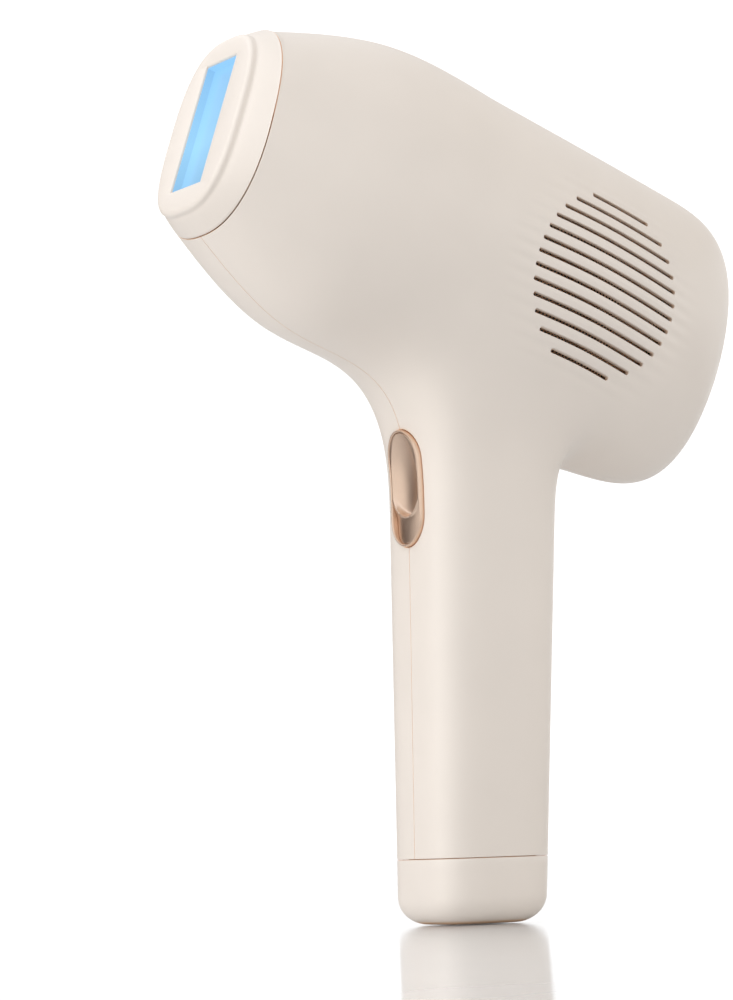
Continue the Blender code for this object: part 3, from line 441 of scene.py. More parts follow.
def cut(mesh, tools):
    """Mesh minus each tool mesh."""
    body = scratch("cut_body", mesh)
    helpers = []
    for tool in tools:
        helper = scratch("cut_tool", tool)
        helpers.append(helper)
        step = body.modifiers.new("cut", 'BOOLEAN')
        step.operation = 'DIFFERENCE'
        step.solver = 'EXACT'
        step.object = helper
    result = evaluated(body, mesh.name)
    for item in [body, *helpers]:
        bpy.data.objects.remove(item, do_unlink=True)
    return result


def shade_by_level(mesh):
    """Outer faces take the body formula's own normals, so cuts leave no ripples."""
    mesh.shade_smooth()
    mesh.set_sharp_from_angle(angle=math.radians(32))
    count = len(mesh.loops)
    normals = np.empty(count * 3)
    mesh.corner_normals.foreach_get("vector", normals)
    normals = normals.reshape(-1, 3)
    owner = np.empty(count, dtype=np.int64)
    mesh.loops.foreach_get("vertex_index", owner)
    faces = len(mesh.polygons)
    totals = np.empty(faces, dtype=np.int64)
    mesh.polygons.foreach_get("loop_total", totals)
    centres = np.empty(faces * 3)
    mesh.polygons.foreach_get("center", centres)
    facing = np.empty(faces * 3)
    mesh.polygons.foreach_get("normal", facing)
    centres = centres.reshape(-1, 3)
    facing = facing.reshape(-1, 3)
    steep = slope(centres)
    size = np.linalg.norm(steep, axis=1)
    agree = (facing * steep).sum(axis=1) / size
    outer = (agree > 0.93) & (np.abs(body_level(centres)) < 0.3 * MM)
    chosen = np.repeat(outer, totals)
    steep = slope(coordinates(mesh))
    steep /= np.linalg.norm(steep, axis=1)[:, None]
    normals[chosen] = steep[owner[chosen]]
    mesh.normals_split_custom_set(normals.tolist())


# ---------------------------------------------------------------- materials

def shader(name, colour, roughness, metallic=0.0):
    made = bpy.data.materials.new(name)
    made.use_nodes = True
    node = made.node_tree.nodes["Principled BSDF"]
    node.inputs["Base Color"].default_value = (*colour, 1.0)
    node.inputs["Roughness"].default_value = roughness
    node.inputs["Metallic"].default_value = metallic
    return made, made.node_tree, node


def rgba_input(socket, name):
    """The colour input of the mix node that a socket comes from."""
    for made in socket.node.inputs:
        if made.type == 'RGBA' and made.name == name:
            return made
    return None


def mixed_colour(tree, factor, low, high):
    """Colour output of a mix from low to high."""
    made = tree.nodes.new("ShaderNodeMix")
    made.data_type = 'RGBA'
    made.clamp_result = False
    tree.links.new(factor, made.inputs["Factor"])
    for socket in made.inputs:
        if socket.type == 'RGBA':
            socket.default_value = (*(low if socket.name == "A" else high), 1)
    return next(socket for socket in made.outputs if socket.type == 'RGBA')


def remap(tree, value, start, end, to=(0, 1), eased=False):
    """Output that runs between two values as a socket runs from start to end."""
    made = tree.nodes.new("ShaderNodeMapRange")
    if eased:
        made.interpolation_type = 'SMOOTHSTEP'
    sockets = ("From Min", "From Max", "To Min", "To Max")
    for socket, limit in zip(sockets, (start, end, *to)):
        made.inputs[socket].default_value = limit
    tree.links.new(value, made.inputs["Value"])
    return made.outputs["Result"]


def colour_ramp(tree, value, *stops):
    """Colour output of a ramp through stops of position and colour."""
    made = tree.nodes.new("ShaderNodeValToRGB")
    for element, (position, colour) in zip(made.color_ramp.elements, (stops[0], stops[-1])):
        element.position = position
        element.color = (*colour, 1)
    for position, colour in stops[1:-1]:
        made.color_ramp.elements.new(position).color = (*colour, 1)
    tree.links.new(value, made.inputs["Fac"])
    return made.outputs["Color"]


def combined(tree, kind, operation, *values):
    """Math node of a kind, whose inputs are sockets, numbers or vectors."""
    made = tree.nodes.new(kind)
    made.operation = operation
    for socket, value in zip(made.inputs, values):
        if isinstance(value, bpy.types.NodeSocket):
            tree.links.new(value, socket)
        else:
            socket.default_value = value
    return made


def number(tree, operation, *values):
    return combined(tree, "ShaderNodeMath", operation, *values).outputs["Value"]


def split_axes(tree, space):
    """Separate X, Y and Z outputs of the object or generated coordinates."""
    place = tree.nodes.new("ShaderNodeTexCoord")
    made = tree.nodes.new("ShaderNodeSeparateXYZ")
    tree.links.new(place.outputs[space], made.inputs["Vector"])
    return made.outputs


def noise(tree, scale, detail=3.0, stretch=(1, 1, 1)):
    """Noise over the object's own coordinates, stretched along an axis if asked."""
    place = tree.nodes.new("ShaderNodeTexCoord")
    turn = tree.nodes.new("ShaderNodeMapping")
    turn.inputs["Scale"].default_value = stretch
    tree.links.new(place.outputs["Object"], turn.inputs["Vector"])
    made = tree.nodes.new("ShaderNodeTexNoise")
    made.inputs["Scale"].default_value = scale
    made.inputs["Detail"].default_value = detail
    tree.links.new(turn.outputs["Vector"], made.inputs["Vector"])
    return made


def vary(tree, node, socket, source, low, high):
    """Drive a scalar socket between two values by a noise."""
    varied = remap(tree, source.outputs["Fac"], *NOISE_SPAN, to=(low, high))
    tree.links.new(varied, node.inputs[socket])


def tint(tree, node, source, low, high):
    """Drive the base colour between two colours by a noise."""
    varied = colour_ramp(tree, source.outputs["Fac"], (NOISE_SPAN[0], low), (NOISE_SPAN[1], high))
    tree.links.new(varied, node.inputs["Base Color"])


def grain(tree, node, source, strength, distance):
    bump = tree.nodes.new("ShaderNodeBump")
    bump.inputs["Strength"].default_value = strength
    bump.inputs["Distance"].default_value = distance
    tree.links.new(source.outputs["Fac"], bump.inputs["Height"])
    tree.links.new(bump.outputs["Normal"], node.inputs["Normal"])


def moulded(name, colour, roughness, spread=0.03, bump=0.10, size=2600):
    """Moulded plastic: faint mottling, spark-eroded grain and uneven gloss."""
    made, tree, node = shader(name, colour, roughness)
    broad = noise(tree, 45, 2)
    low = tuple(c * (1 - spread) for c in colour)
    tint(tree, node, broad, low, colour)
    vary(tree, node, "Roughness", noise(tree, 220, 3), roughness - 0.04, roughness + 0.05)
    grain(tree, node, noise(tree, size, 2), bump, 0.00003)
    return made


def paint_cavity_shade(finish, shade):
    """Paint warm tan shade into narrow gaps, seams and slots where ambient occlusion is strong:
    painted shade, standing in for light bouncing warm inside them.
    """
    tree = finish.node_tree
    node = tree.nodes["Principled BSDF"]
    paint = node.inputs["Base Color"].links[0].from_socket
    occlusion_shade_mask = tree.nodes.new("ShaderNodeAmbientOcclusion")
    occlusion_shade_mask.samples = 8
    occlusion_shade_mask.inputs["Distance"].default_value = 1.2 * MM
    mixed = mixed_colour(tree, remap(tree, occlusion_shade_mask.outputs["AO"], 0.25, 0.80), shade, shade)
    tree.links.new(paint, rgba_input(mixed, "B"))
    tree.links.new(mixed, node.inputs["Base Color"])


def metal(name, colour, roughness, stretch=(1, 1, 1), spread=0.08, bump=0.04):
    """Plated or drawn metal with fine directional marks."""
    made, tree, node = shader(name, colour, roughness, 1.0)
    streak = noise(tree, 900, 4, stretch)
    low = tuple(c * (1 - spread) for c in colour)
    tint(tree, node, streak, low, colour)
    vary(tree, node, "Roughness", noise(tree, 160, 3), roughness - 0.05, roughness + 0.06)
    grain(tree, node, streak, bump, 0.00002)
    return made


def painted_glow_filter():
    """Blue filter glass with a painted glow, brighter in the middle and painted darker towards its
    top and bottom edges: emission that stands in for light seen through the window.
    """
    made, tree, node = shader("filter_painted_glow", (0.04, 0.08, 0.14), 0.2)
    painted_glow_ramp = colour_ramp(tree, split_axes(tree, "Generated")["Z"], (0.02, (0.26, 0.50, 0.72)),
                       (0.4, (0.32, 0.62, 0.86)), (0.97, (0.25, 0.52, 0.80)))
    tree.links.new(painted_glow_ramp, node.inputs["Emission Color"])
    node.inputs["Emission Strength"].default_value = 0.95
    vary(tree, node, "Roughness", noise(tree, 300, 2), 0.15, 0.25)
    return made


def clear_glass(name, colour):
    made, tree, node = shader(name, colour, 0.05)
    node.inputs["Transmission Weight"].default_value = 0.9
    node.inputs["IOR"].default_value = 1.46
    vary(tree, node, "Roughness", noise(tree, 120, 2), 0.03, 0.09)
    return made


def circuit_board(name):
    """Solder resist over a faint pattern of tracks."""
    made, tree, node = shader(name, (0.02, 0.17, 0.08), 0.35)
    place = tree.nodes.new("ShaderNodeTexCoord")
    cells = tree.nodes.new("ShaderNodeTexVoronoi")
    cells.distance = 'MANHATTAN'
    cells.inputs["Scale"].default_value = 380
    tree.links.new(place.outputs["Object"], cells.inputs["Vector"])
    tracks = colour_ramp(tree, cells.outputs["Distance"], (0.25, (0.015, 0.12, 0.055)),
                         (0.45, (0.03, 0.24, 0.11)))
    tree.links.new(tracks, node.inputs["Base Color"])
    return made


IVORY = moulded("ivory_satin", (0.86, 0.775, 0.69), 0.38, bump=0.05)
# painted shade: ivory turns warm tan in gaps, seams and vent slots, set by ambient occlusion
paint_cavity_shade(IVORY, (0.95, 0.63, 0.40))
ROSE = metal("rose_gold_satin", (0.80, 0.60, 0.46), 0.40, spread=0.02, bump=0.01)
# painted light: the screen's rose gold is set lighter and warmer than the button's, standing in
# for light reaching the wires deep inside the vents
ROSE_SCREEN_PAINTED_LIGHT = metal("rose_gold_screen_painted_light", (0.90, 0.64, 0.45), 0.30, spread=0.04, bump=0.01)
# painted glow: the window glass emits light though it is no lamp
PAINTED_GLOW_GLASS = painted_glow_filter()
GLASS = clear_glass("quartz_glass", (0.93, 0.96, 0.98))
SILVER = metal("bright_reflector", (0.90, 0.91, 0.93), 0.14, (1, 1, 0.1), 0.04)
CERAMIC = moulded("white_ceramic", (0.82, 0.81, 0.78), 0.55, 0.05, 0.2, 1800)
BLACK = moulded("black_plastic", (0.022, 0.022, 0.024), 0.42, 0.2, 0.25, 2000)
GREY = moulded("grey_plastic", (0.20, 0.20, 0.21), 0.42, 0.1, 0.15, 2000)
SMOKE = moulded("smoked_lens", (0.012, 0.012, 0.016), 0.10, 0.1, 0.0)
BRASS = metal("contact_brass", (0.82, 0.62, 0.30), 0.25)
ALUMINIUM = metal("fin_aluminium", (0.78, 0.79, 0.80), 0.38, (0.1, 1, 1))
STEEL = metal("screw_steel", (0.60, 0.61, 0.63), 0.32)
BOARD = circuit_board("solder_resist")
COPPER = metal("coil_copper", (0.72, 0.36, 0.19), 0.36, (1, 1, 8), 0.3, 0.3)
SLEEVE = moulded("capacitor_sleeve", (0.035, 0.07, 0.17), 0.25, 0.15, 0.05)


# ---------------------------------------------------------------- casing

def fine_surface():
    """Whole body surface, refined where the vents' flutes need it."""
    cage = body_cage()
    snap_to_body(cage)
    holder = scratch("body_cage", cage)
    split = holder.modifiers.new("split", 'SUBSURF')
    split.levels = LEVELS
    split.render_levels = LEVELS
    mesh = evaluated(holder, "body_surface")
    bpy.data.objects.remove(holder, do_unlink=True)
    snap_to_body(mesh)
    bm = bmesh.new()
    bm.from_mesh(mesh)
    near = VENT_RADIUS + RIPPLE_FADE
    edges = []
    for edge in bm.edges:
        middle = (edge.verts[0].co + edge.verts[1].co) / 2
        s, _, v = to_head(np.array([middle]))
        if math.hypot(s[0] - VENT_S, v[0] - VENT_V) < near and abs(middle.y) > FLANK:
            edges.append(edge)
    bmesh.ops.subdivide_edges(bm, edges=edges, cuts=2, use_grid_fill=True)
    bm.to_mesh(mesh)
    bm.free()
    snap_to_body(mesh)
    return mesh


def half_shell(surface, side):
    """Walled half of the body on one side of the seam, its rims slightly rounded."""
    points = coordinates(surface)
    steep = slope(points)
    steep /= np.linalg.norm(steep, axis=1)[:, None]
    seam = np.abs(points[:, 1]) < 0.01 * MM
    outer = points.copy()
    outer[seam, 1] = side * PART_GAP / 2
    steep[seam, 1] = 0
    s, _, v = to_head(outer)
    reach = np.hypot(s - VENT_S, v - VENT_V)
    pocket = smooth((VENT_RADIUS + VENT_POCKET - reach) / (1.5 * MM))
    pocket *= np.abs(outer[:, 1]) > FLANK
    inner = outer - (WALL - (WALL - VENT_WALL) * pocket)[:, None] * steep
    low = outer[:, 2] < SEAM_Z + RIM_BAND
    inner[low, 2] = outer[low, 2]
    bm = bmesh.new()
    faces = [f for f in surface.polygons if f.center.y * side > 0]
    used = sorted({v for f in faces for v in f.vertices})
    skin = {v: bm.verts.new(outer[v]) for v in used}
    back = {v: bm.verts.new(inner[v]) for v in used}
    for f in faces:
        bm.faces.new([skin[v] for v in f.vertices])
        bm.faces.new([back[v] for v in reversed(f.vertices)])
    twin = {skin[v]: back[v] for v in used}
    rims = [e for e in bm.edges if e.is_boundary and e.verts[0] in twin and e.verts[1] in twin]
    for edge in rims:
        a, b = edge.verts
        bm.faces.new((b, a, twin[a], twin[b]))
    bmesh.ops.recalc_face_normals(bm, faces=bm.faces[:])
    bmesh.ops.bevel(bm, geom=rims, offset=EDGE_ROUND, segments=2, profile=0.5, affect='EDGES')
    mesh = bpy.data.meshes.new("half_shell")
    bm.to_mesh(mesh)
    bm.free()
    return mesh


def vent_rows():
    """Centre height across the vent circle and half length of each slot."""
    for i in range(VENT_COUNT):
        offset = (VENT_COUNT // 2 - i) * VENT_PITCH
        yield VENT_V + offset, math.sqrt(VENT_RADIUS ** 2 - offset ** 2)


def vent_tools(side):
    """Slot cutters that follow the surface, with round ends and an eased mouth."""
    half = VENT_WIDTH / 2
    tools = bmesh.new()
    ends = [half * (1 - math.cos(math.radians(a))) for a in (4, 25, 45, 65, 90)]
    for v, length in vent_rows():
        middle = np.linspace(-length + ends[-1], length - ends[-1], 18)[1:-1]
        along = np.concatenate([np.array(ends) - length, middle, length - np.array(ends)[::-1]])
        width = half * np.ones(len(along))
        for k, inset in enumerate(ends):
            width[k] = math.sqrt(max(half ** 2 - (half - inset) ** 2, 0))
            width[-1 - k] = width[k]
        loops = [[] for _ in along]
        for sign in (1, -1):
            mouth = surface_y(VENT_S + along, v + sign * (width + VENT_ROUND), side)
            throat = surface_y(VENT_S + along, v + sign * width, side)
            for k in range(len(along)):
                place = (VENT_S + along[k], v + sign * (width[k] + VENT_ROUND))
                inner = (VENT_S + along[k], v + sign * width[k])
                row = [(place, mouth[k] + side * 3 * MM), (place, mouth[k]),
                       (inner, throat[k] - side * VENT_ROUND),
                       (inner, throat[k] - side * 5 * MM)]
                loops[k] += row if sign > 0 else row[::-1]
        rows = []
        for loop in loops:
            rows.append([tools.verts.new(to_world(s, y, across)) for (s, across), y in loop])
        bridge(tools, rows)
        tools.faces.new(rows[0])
        tools.faces.new(rows[-1])
    return mesh_from(tools, "vent_tools")


def surface_y(s, v, side):
    """Sideways place of the body surface at a distance and a height on the head."""
    s, v = np.broadcast_arrays(s, v)
    start = to_world(s, np.full(len(s), side * 30 * MM), v)
    return onto_body(start, direction=(0, 1, 0))[:, 1]


def capsule(half_width, half_height, arc=20, straight=10):
    """Points (y, z) round an upright capsule about the button's centre."""
    run = half_height - half_width
    points = []
    for sign in (1, -1):
        for k in range(arc + 1):
            turn = math.pi * (k / arc if sign > 0 else 1 + k / arc)
            points.append((half_width * math.cos(turn), sign * run + half_width * math.sin(turn)))
        for k in range(1, straight):
            points.append((-sign * half_width, sign * run * (1 - 2 * k / straight)))
    return np.array(points)


def front_x(y, z):
    """Depth of the handle's front surface at a sideways place and a height."""
    start = np.stack([np.full(len(y), -20 * MM), y, z], axis=1)
    return onto_body(start, direction=(1, 0, 0))[:, 0]


def capsule_loop(half_width, half_height, depth):
    """Capsule that follows the handle's surface, pushed in by a depth."""
    outline = capsule(half_width, half_height)
    y = outline[:, 0]
    z = outline[:, 1] + BUTTON_Z
    return np.stack([front_x(y, z) + depth, y, z], axis=1)


def button_opening():
    """Cutter for the bezel's seat, with an eased edge."""
    half = (BEZEL_HALF[0] + 0.12 * MM, BEZEL_HALF[1] + 0.12 * MM)
    easing = 0.15 * MM
    wide = (half[0] + easing, half[1] + easing)
    loops = [capsule_loop(*wide, -4 * MM), capsule_loop(*wide, 0),
             capsule_loop(*half, easing), capsule_loop(*half, 7 * MM)]
    return loft_mesh("button_opening", loops)


def make_shells():
    surface = fine_surface()
    for name, side in (("right_shell", -1), ("left_shell", 1)):
        mesh = half_shell(surface, side)
        mesh = cut(mesh, [vent_tools(side), button_opening()])
        shade_by_level(mesh)
        piece(name + "_skin", mesh, IVORY, "body", [name], sharp=None)


def grip_loop(z, inset):
    """Loop round the handle's section at a height, set in by a distance."""
    half_x, half_y = grip_half(z)
    angles = np.arange(AROUND) * math.tau / AROUND
    x, y = oval(angles, half_x - inset, half_y - inset, GRIP_POWER)
    return np.stack([grip_centre(z) + x, y, np.full(AROUND, z)], axis=1)


def make_bottom_cap():
    """Cup below the handle: rounded foot, eased seam edge, collar inside."""
    collar = WALL + 0.3 * MM
    top = SEAM_Z - PART_GAP / 2
    floor = 3 * MM
    loops = [grip_loop(BASE_ROUND, 0) * (share, share, 0) for share in (0.2, 0.4)]
    for turn in range(90, -1, -9):
        angle = math.radians(turn)
        inset = BASE_ROUND * (1 - math.cos(angle))
        loops.append(grip_loop(BASE_ROUND * (1 - math.sin(angle)), inset))
    loops += [grip_loop(10 * MM, 0), grip_loop(14 * MM, 0), grip_loop(top - 0.3 * MM, 0),
              grip_loop(top - 0.08 * MM, 0.08 * MM), grip_loop(top, 0.3 * MM),
              grip_loop(top, collar), grip_loop(SEAM_Z + 6 * MM, collar),
              grip_loop(SEAM_Z + 6 * MM, collar + WALL), grip_loop(floor, collar + WALL)]
    loops.append(loops[0] + (0, 0, floor))
    mesh = loft_mesh("bottom_cap", loops)
    low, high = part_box("dc_inlet")
    centre = (Vector(low) + Vector(high)) / 2
    hole = bmesh.new()
    place = Matrix.Translation((centre.x, 0, 0))
    for mouth, depth in ((0, 12 * MM), (MM, MM)):
        bmesh.ops.create_cone(hole, cap_ends=True, segments=64, radius1=INLET_RADIUS + mouth,
                              radius2=INLET_RADIUS, depth=depth, matrix=place)
    tools = [mesh_from(hole, "inlet_hole")]
    piece("bottom_cap_skin", cut(mesh, tools), IVORY, "body", ["bottom_cap"])


def make_rear_panel():
    """Oval end panel, slightly domed, with its screen and power button."""
    s = panel_depth()
    centre, half_height, half_width, power = (value[0] for value in head_section(np.array([s])))
    angles = math.radians(-90) + np.arange(AROUND) * math.tau / AROUND

    def loop(inset, depth, share=1.0):
        y, v = oval(angles, half_width * PANEL_SCALE - inset, half_height * PANEL_SCALE - inset,
                    power)
        return np.stack([np.full(AROUND, depth), y * share, v * share + centre], axis=1)

    edge = 0.3 * MM
    corner = 0.45 * MM
    shoulder = s + 0.5 * MM
    loops = [loop(edge + 1.7 * MM, s - 2.4 * MM, share) for share in (0.3, 0.7, 1.0)]
    loops += [loop(edge, s - 0.2 * MM), loop(edge, s + 0.05 * MM)]
    for turn in range(15, 91, 15):
        angle = math.radians(turn)
        inset = corner * (1 - math.cos(angle))
        loops.append(loop(edge + inset, s + 0.05 * MM + corner * math.sin(angle)))
    for share in (0.94, 0.85, 0.7, 0.5, 0.3, 0.12):
        loops.append(loop(edge + 0.5 * MM, shoulder + PANEL_DOME * (1 - share ** 2), share))
    mesh = loft_mesh("rear_panel", loops)
    screen_v = centre + SCREEN_UP
    front = s + 3 * MM
    top = shoulder + PANEL_DOME
    pocket = [rounded_rectangle(screen_v, SCREEN_HALF, 0.15 * MM, depth, 1.6 * MM)
              for depth in (s - 0.9 * MM, top - 0.35 * MM)]
    pocket += [rounded_rectangle(screen_v, SCREEN_HALF, 0.4 * MM, depth, 1.8 * MM)
               for depth in (top - 0.1 * MM, front)]
    wide = POWER_RADIUS + 0.75 * MM
    snug = POWER_RADIUS + 0.15 * MM
    hole = [(0, front), (wide, front), (wide, top - 0.1 * MM), (snug, top - 0.75 * MM),
            (snug, s - 4 * MM), (0, s - 4 * MM)]
    tools = [loft_mesh("screen_pocket", pocket), turned_mesh("power_hole", hole, POWER_V)]
    mesh = cut(mesh, tools)
    mesh.transform(HEAD_PLACE)
    piece("rear_panel_skin", mesh, IVORY, "body", ["rear_panel"], sharp=30)
    lens = [rounded_rectangle(screen_v, SCREEN_HALF, inset, s + depth, 1.6 * MM)
            for inset, depth in ((0, -0.7 * MM), (0, 1.1 * MM), (0.1 * MM, 1.22 * MM),
                                 (0.3 * MM, 1.3 * MM), (2 * MM, 1.38 * MM), (4 * MM, 1.4 * MM))]
    mesh = loft_mesh("display_lens", lens)
    mesh.transform(HEAD_PLACE)
    piece("display_lens_skin", mesh, DISPLAY, "body", ["display_lens"])
    stem = 1.5 * MM
    face = [(0, s + 1.15 * MM), (stem, s + 1.17 * MM), (2 * stem, s + 1.28 * MM),
            (POWER_RADIUS - MM, s + 1.45 * MM)]
    for turn in range(0, 91, 15):
        angle = math.radians(turn)
        inset = 0.5 * MM * (1 - math.sin(angle))
        face.append((POWER_RADIUS - inset, s + MM + 0.5 * MM * math.cos(angle)))
    face += [(POWER_RADIUS, s - 2.6 * MM), (stem, s - 2.6 * MM), (stem, s - 5.2 * MM),
             (0, s - 5.2 * MM)]
    mesh = turned_mesh("power_button", face, POWER_V)
    mesh.transform(HEAD_PLACE)
    piece("power_button_skin", mesh, ROSE, "power_button", ["power_button"])


def rounded_rectangle(centre, half, inset, depth, corner):
    """Loop of a rectangle with round corners in the head's cross plane."""
    radius = max(corner - inset, 0.2 * MM)
    points = []
    for quarter in range(4):
        c = (1, -1, -1, 1)[quarter]
        d = (1, 1, -1, -1)[quarter]
        for k in range(9):
            turn = math.pi / 2 * (quarter + k / 8)
            points.append((depth, c * (half[1] - inset - radius) + radius * math.cos(turn),
                           centre + d * (half[0] - inset - radius) + radius * math.sin(turn)))
    return points


def turned_mesh(name, profile, v, steps=96):
    """Solid of revolution about a line along the head's axis at height v."""
    turns = np.arange(steps) * math.tau / steps
    bm = bmesh.new()
    rows = []
    for radius, depth in profile:
        if radius == 0:
            rows.append([bm.verts.new((depth, 0, v))])
        else:
            rows.append([bm.verts.new((depth, radius * math.cos(a), v + radius * math.sin(a)))
                         for a in turns])
    for upper, lower in zip(rows, rows[1:]):
        for k in range(steps):
            after = (k + 1) % steps
            corners = [upper[k % len(upper)], upper[after % len(upper)],
                       lower[after % len(lower)], lower[k % len(lower)]]
            bm.faces.new(list(dict.fromkeys(corners)))
    return mesh_from(bm, name)


# ---------------------------------------------------------------- nose and lamp

def face_loop(s, half, power, centre, angles):
    """Loop across the head's axis; power None gives a rectangle."""
    if power is None:
        reach = 1 / np.maximum(np.abs(np.cos(angles)), np.abs(np.sin(angles)))
        y = half[1] * np.cos(angles) * reach
        v = half[0] * np.sin(angles) * reach
    else:
        y, v = oval(angles, half[1], half[0], power)
    return np.stack([np.full(len(angles), s), y, v + centre], axis=1)


def make_nose():
    """Lamp cover: flat face, a soft valley round it, then a flare to the ring seam."""
    angles = math.radians(-90) + np.arange(2 * AROUND) * math.pi / AROUND
    seam_s = HEAD_STATIONS[0, 0]
    skirt = WALL + 0.6 * MM
    behind = 15 * MM

    def seam_loop(inset, s, lean=1.0):
        return np.stack(rim_loop(angles, s, inset, lean), axis=1)

    def flare(s, share):
        near = face_loop(s, FACE_HALF, FACE_POWER, FACE_UP, angles)
        far = seam_loop(0, seam_s)
        far[:, 0] += s - seam_s
        return near + (far - near) * share

    window = (WINDOW[0] / 2, WINDOW[1] / 2)

    def opening(extra, s):
        return face_loop(s, (window[0] + extra, window[1] + extra), None, WINDOW_UP, angles)

    loops = [opening(0, 0.45 * MM), opening(0.06 * MM, 0.2 * MM), opening(0.2 * MM, 0.06 * MM),
             opening(0.45 * MM, 0)]
    edge = ((0, 1.5), (0.03, 1.1), (0.10, 0.75), (0.30, 0.35), (0.62, 0.11), (1.0, 0.0))
    for s, inset in edge:
        half = (FACE_HALF[0] - inset * MM, FACE_HALF[1] - inset * MM)
        loops.append(face_loop(s * MM, half, FACE_POWER, FACE_UP, angles))
    sweep = ((1.45, 0.0), (1.75, 0.03), (1.95, 0.085), (2.15, 0.15), (2.5, 0.24), (3.0, 0.35),
             (3.6, 0.475), (4.3, 0.615), (5.0, 0.75), (5.7, 0.88), (6.05, 0.945))
    loops += [flare(s * MM, share) for s, share in sweep]
    top = seam_s - PART_GAP / 2
    loops += [seam_loop(0.06 * MM, top - 0.16 * MM), seam_loop(0.22 * MM, top),
              seam_loop(skirt, top), seam_loop(skirt, behind, 0),
              seam_loop(skirt + 1.6 * MM, behind, 0), seam_loop(skirt + 1.6 * MM, 5 * MM, 0),
              opening(1.6 * MM, 2.2 * MM), opening(0, 2.2 * MM)]
    mesh = loft_mesh("nose_cover", loops, closed=True)
    mesh.transform(HEAD_PLACE)
    piece("nose_cover_skin", mesh, IVORY, "lamp_head", ["nose_cover"], sharp=50)
    clear = -0.05 * MM
    rim = clear - 0.25 * MM
    tray = [opening(0.7 * MM, 4.3 * MM), opening(0.7 * MM, 2.7 * MM), opening(clear, 2.65 * MM),
            opening(clear, 0.55 * MM), opening(rim, 0.5 * MM), opening(rim, 2.4 * MM)]
    mesh = loft_mesh("window_glass", tray)
    mesh.transform(HEAD_PLACE)
    # the window glass takes the painted glow
    piece("window_glass_tray", mesh, PAINTED_GLOW_GLASS, "lamp_head", ["window_glass"])


# ---------------------------------------------------------------- vent screens

def make_screens():
    """Welded wire mesh just inside each vent, framed by a flat ring."""
    radius = VENT_RADIUS + 1.5 * MM
    pitch = 0.72 * MM
    inner = radius - 1.2 * MM
    count = int(radius / pitch)
    for name, side in (("right_vent_screen", -1), ("left_vent_screen", 1)):
        bm = bmesh.new()
        for layer, turn in ((0, math.radians(45)), (1, math.radians(-45))):
            for i in range(-count, count + 1):
                offset = (i + 0.5 * layer) * pitch
                if abs(offset) > radius - pitch:
                    continue
                half = math.sqrt((radius - 0.3 * MM) ** 2 - offset ** 2)
                steps = max(int(half / (1.6 * MM)), 2)
                run = np.linspace(-half, half, 2 * steps + 1)
                s = VENT_S + run * math.cos(turn) - offset * math.sin(turn)
                v = VENT_V + run * math.sin(turn) + offset * math.cos(turn)
                add_wire(bm, to_world(s, screen_y(s, v, side, layer * 1.6 * WIRE), v), WIRE)
        turns = np.arange(96) * math.tau / 96
        rows = []
        for reach, lift in ((inner, -1.6), (radius, -1.6), (radius, 3), (inner, 3)):
            s = VENT_S + reach * np.cos(turns)
            v = VENT_V + reach * np.sin(turns)
            line = to_world(s, screen_y(s, v, side, lift * WIRE), v)
            rows.append([bm.verts.new(point) for point in line])
        bridge(bm, rows + rows[:1])
        mesh = mesh_from(bm, name)
        # the screens take the lightened rose gold, a painted stand-in for light inside the vents
        piece(name + "_mesh", mesh, ROSE_SCREEN_PAINTED_LIGHT, "body", [name], sharp=60)


def screen_y(s, v, side, lift):
    """Sideways place of the screen, just inside the shell's wall."""
    return surface_y(s, v, side) - side * (VENT_WALL * 1.15 + 0.5 * MM + lift)


def add_wire(bm, line, radius):
    """Thin four-sided wire along a line of points."""
    along = np.gradient(line, axis=0)
    along /= np.linalg.norm(along, axis=1)[:, None]
    across = np.cross(along, (0, 1, 0))
    across /= np.linalg.norm(across, axis=1)[:, None]
    up = np.cross(along, across)
    rows = []
    for corner in range(4):
        turn = math.tau * corner / 4
        points = line + radius * (math.cos(turn) * across + math.sin(turn) * up)
        rows.append([bm.verts.new(p) for p in points])
    for k in range(4):
        a, b = rows[k], rows[(k + 1) % 4]
        for i in range(len(line) - 1):
            bm.faces.new((a[i], a[i + 1], b[i + 1], b[i]))
    bm.faces.new([row[0] for row in rows])
    bm.faces.new([row[-1] for row in rows])


# ---------------------------------------------------------------- flash button

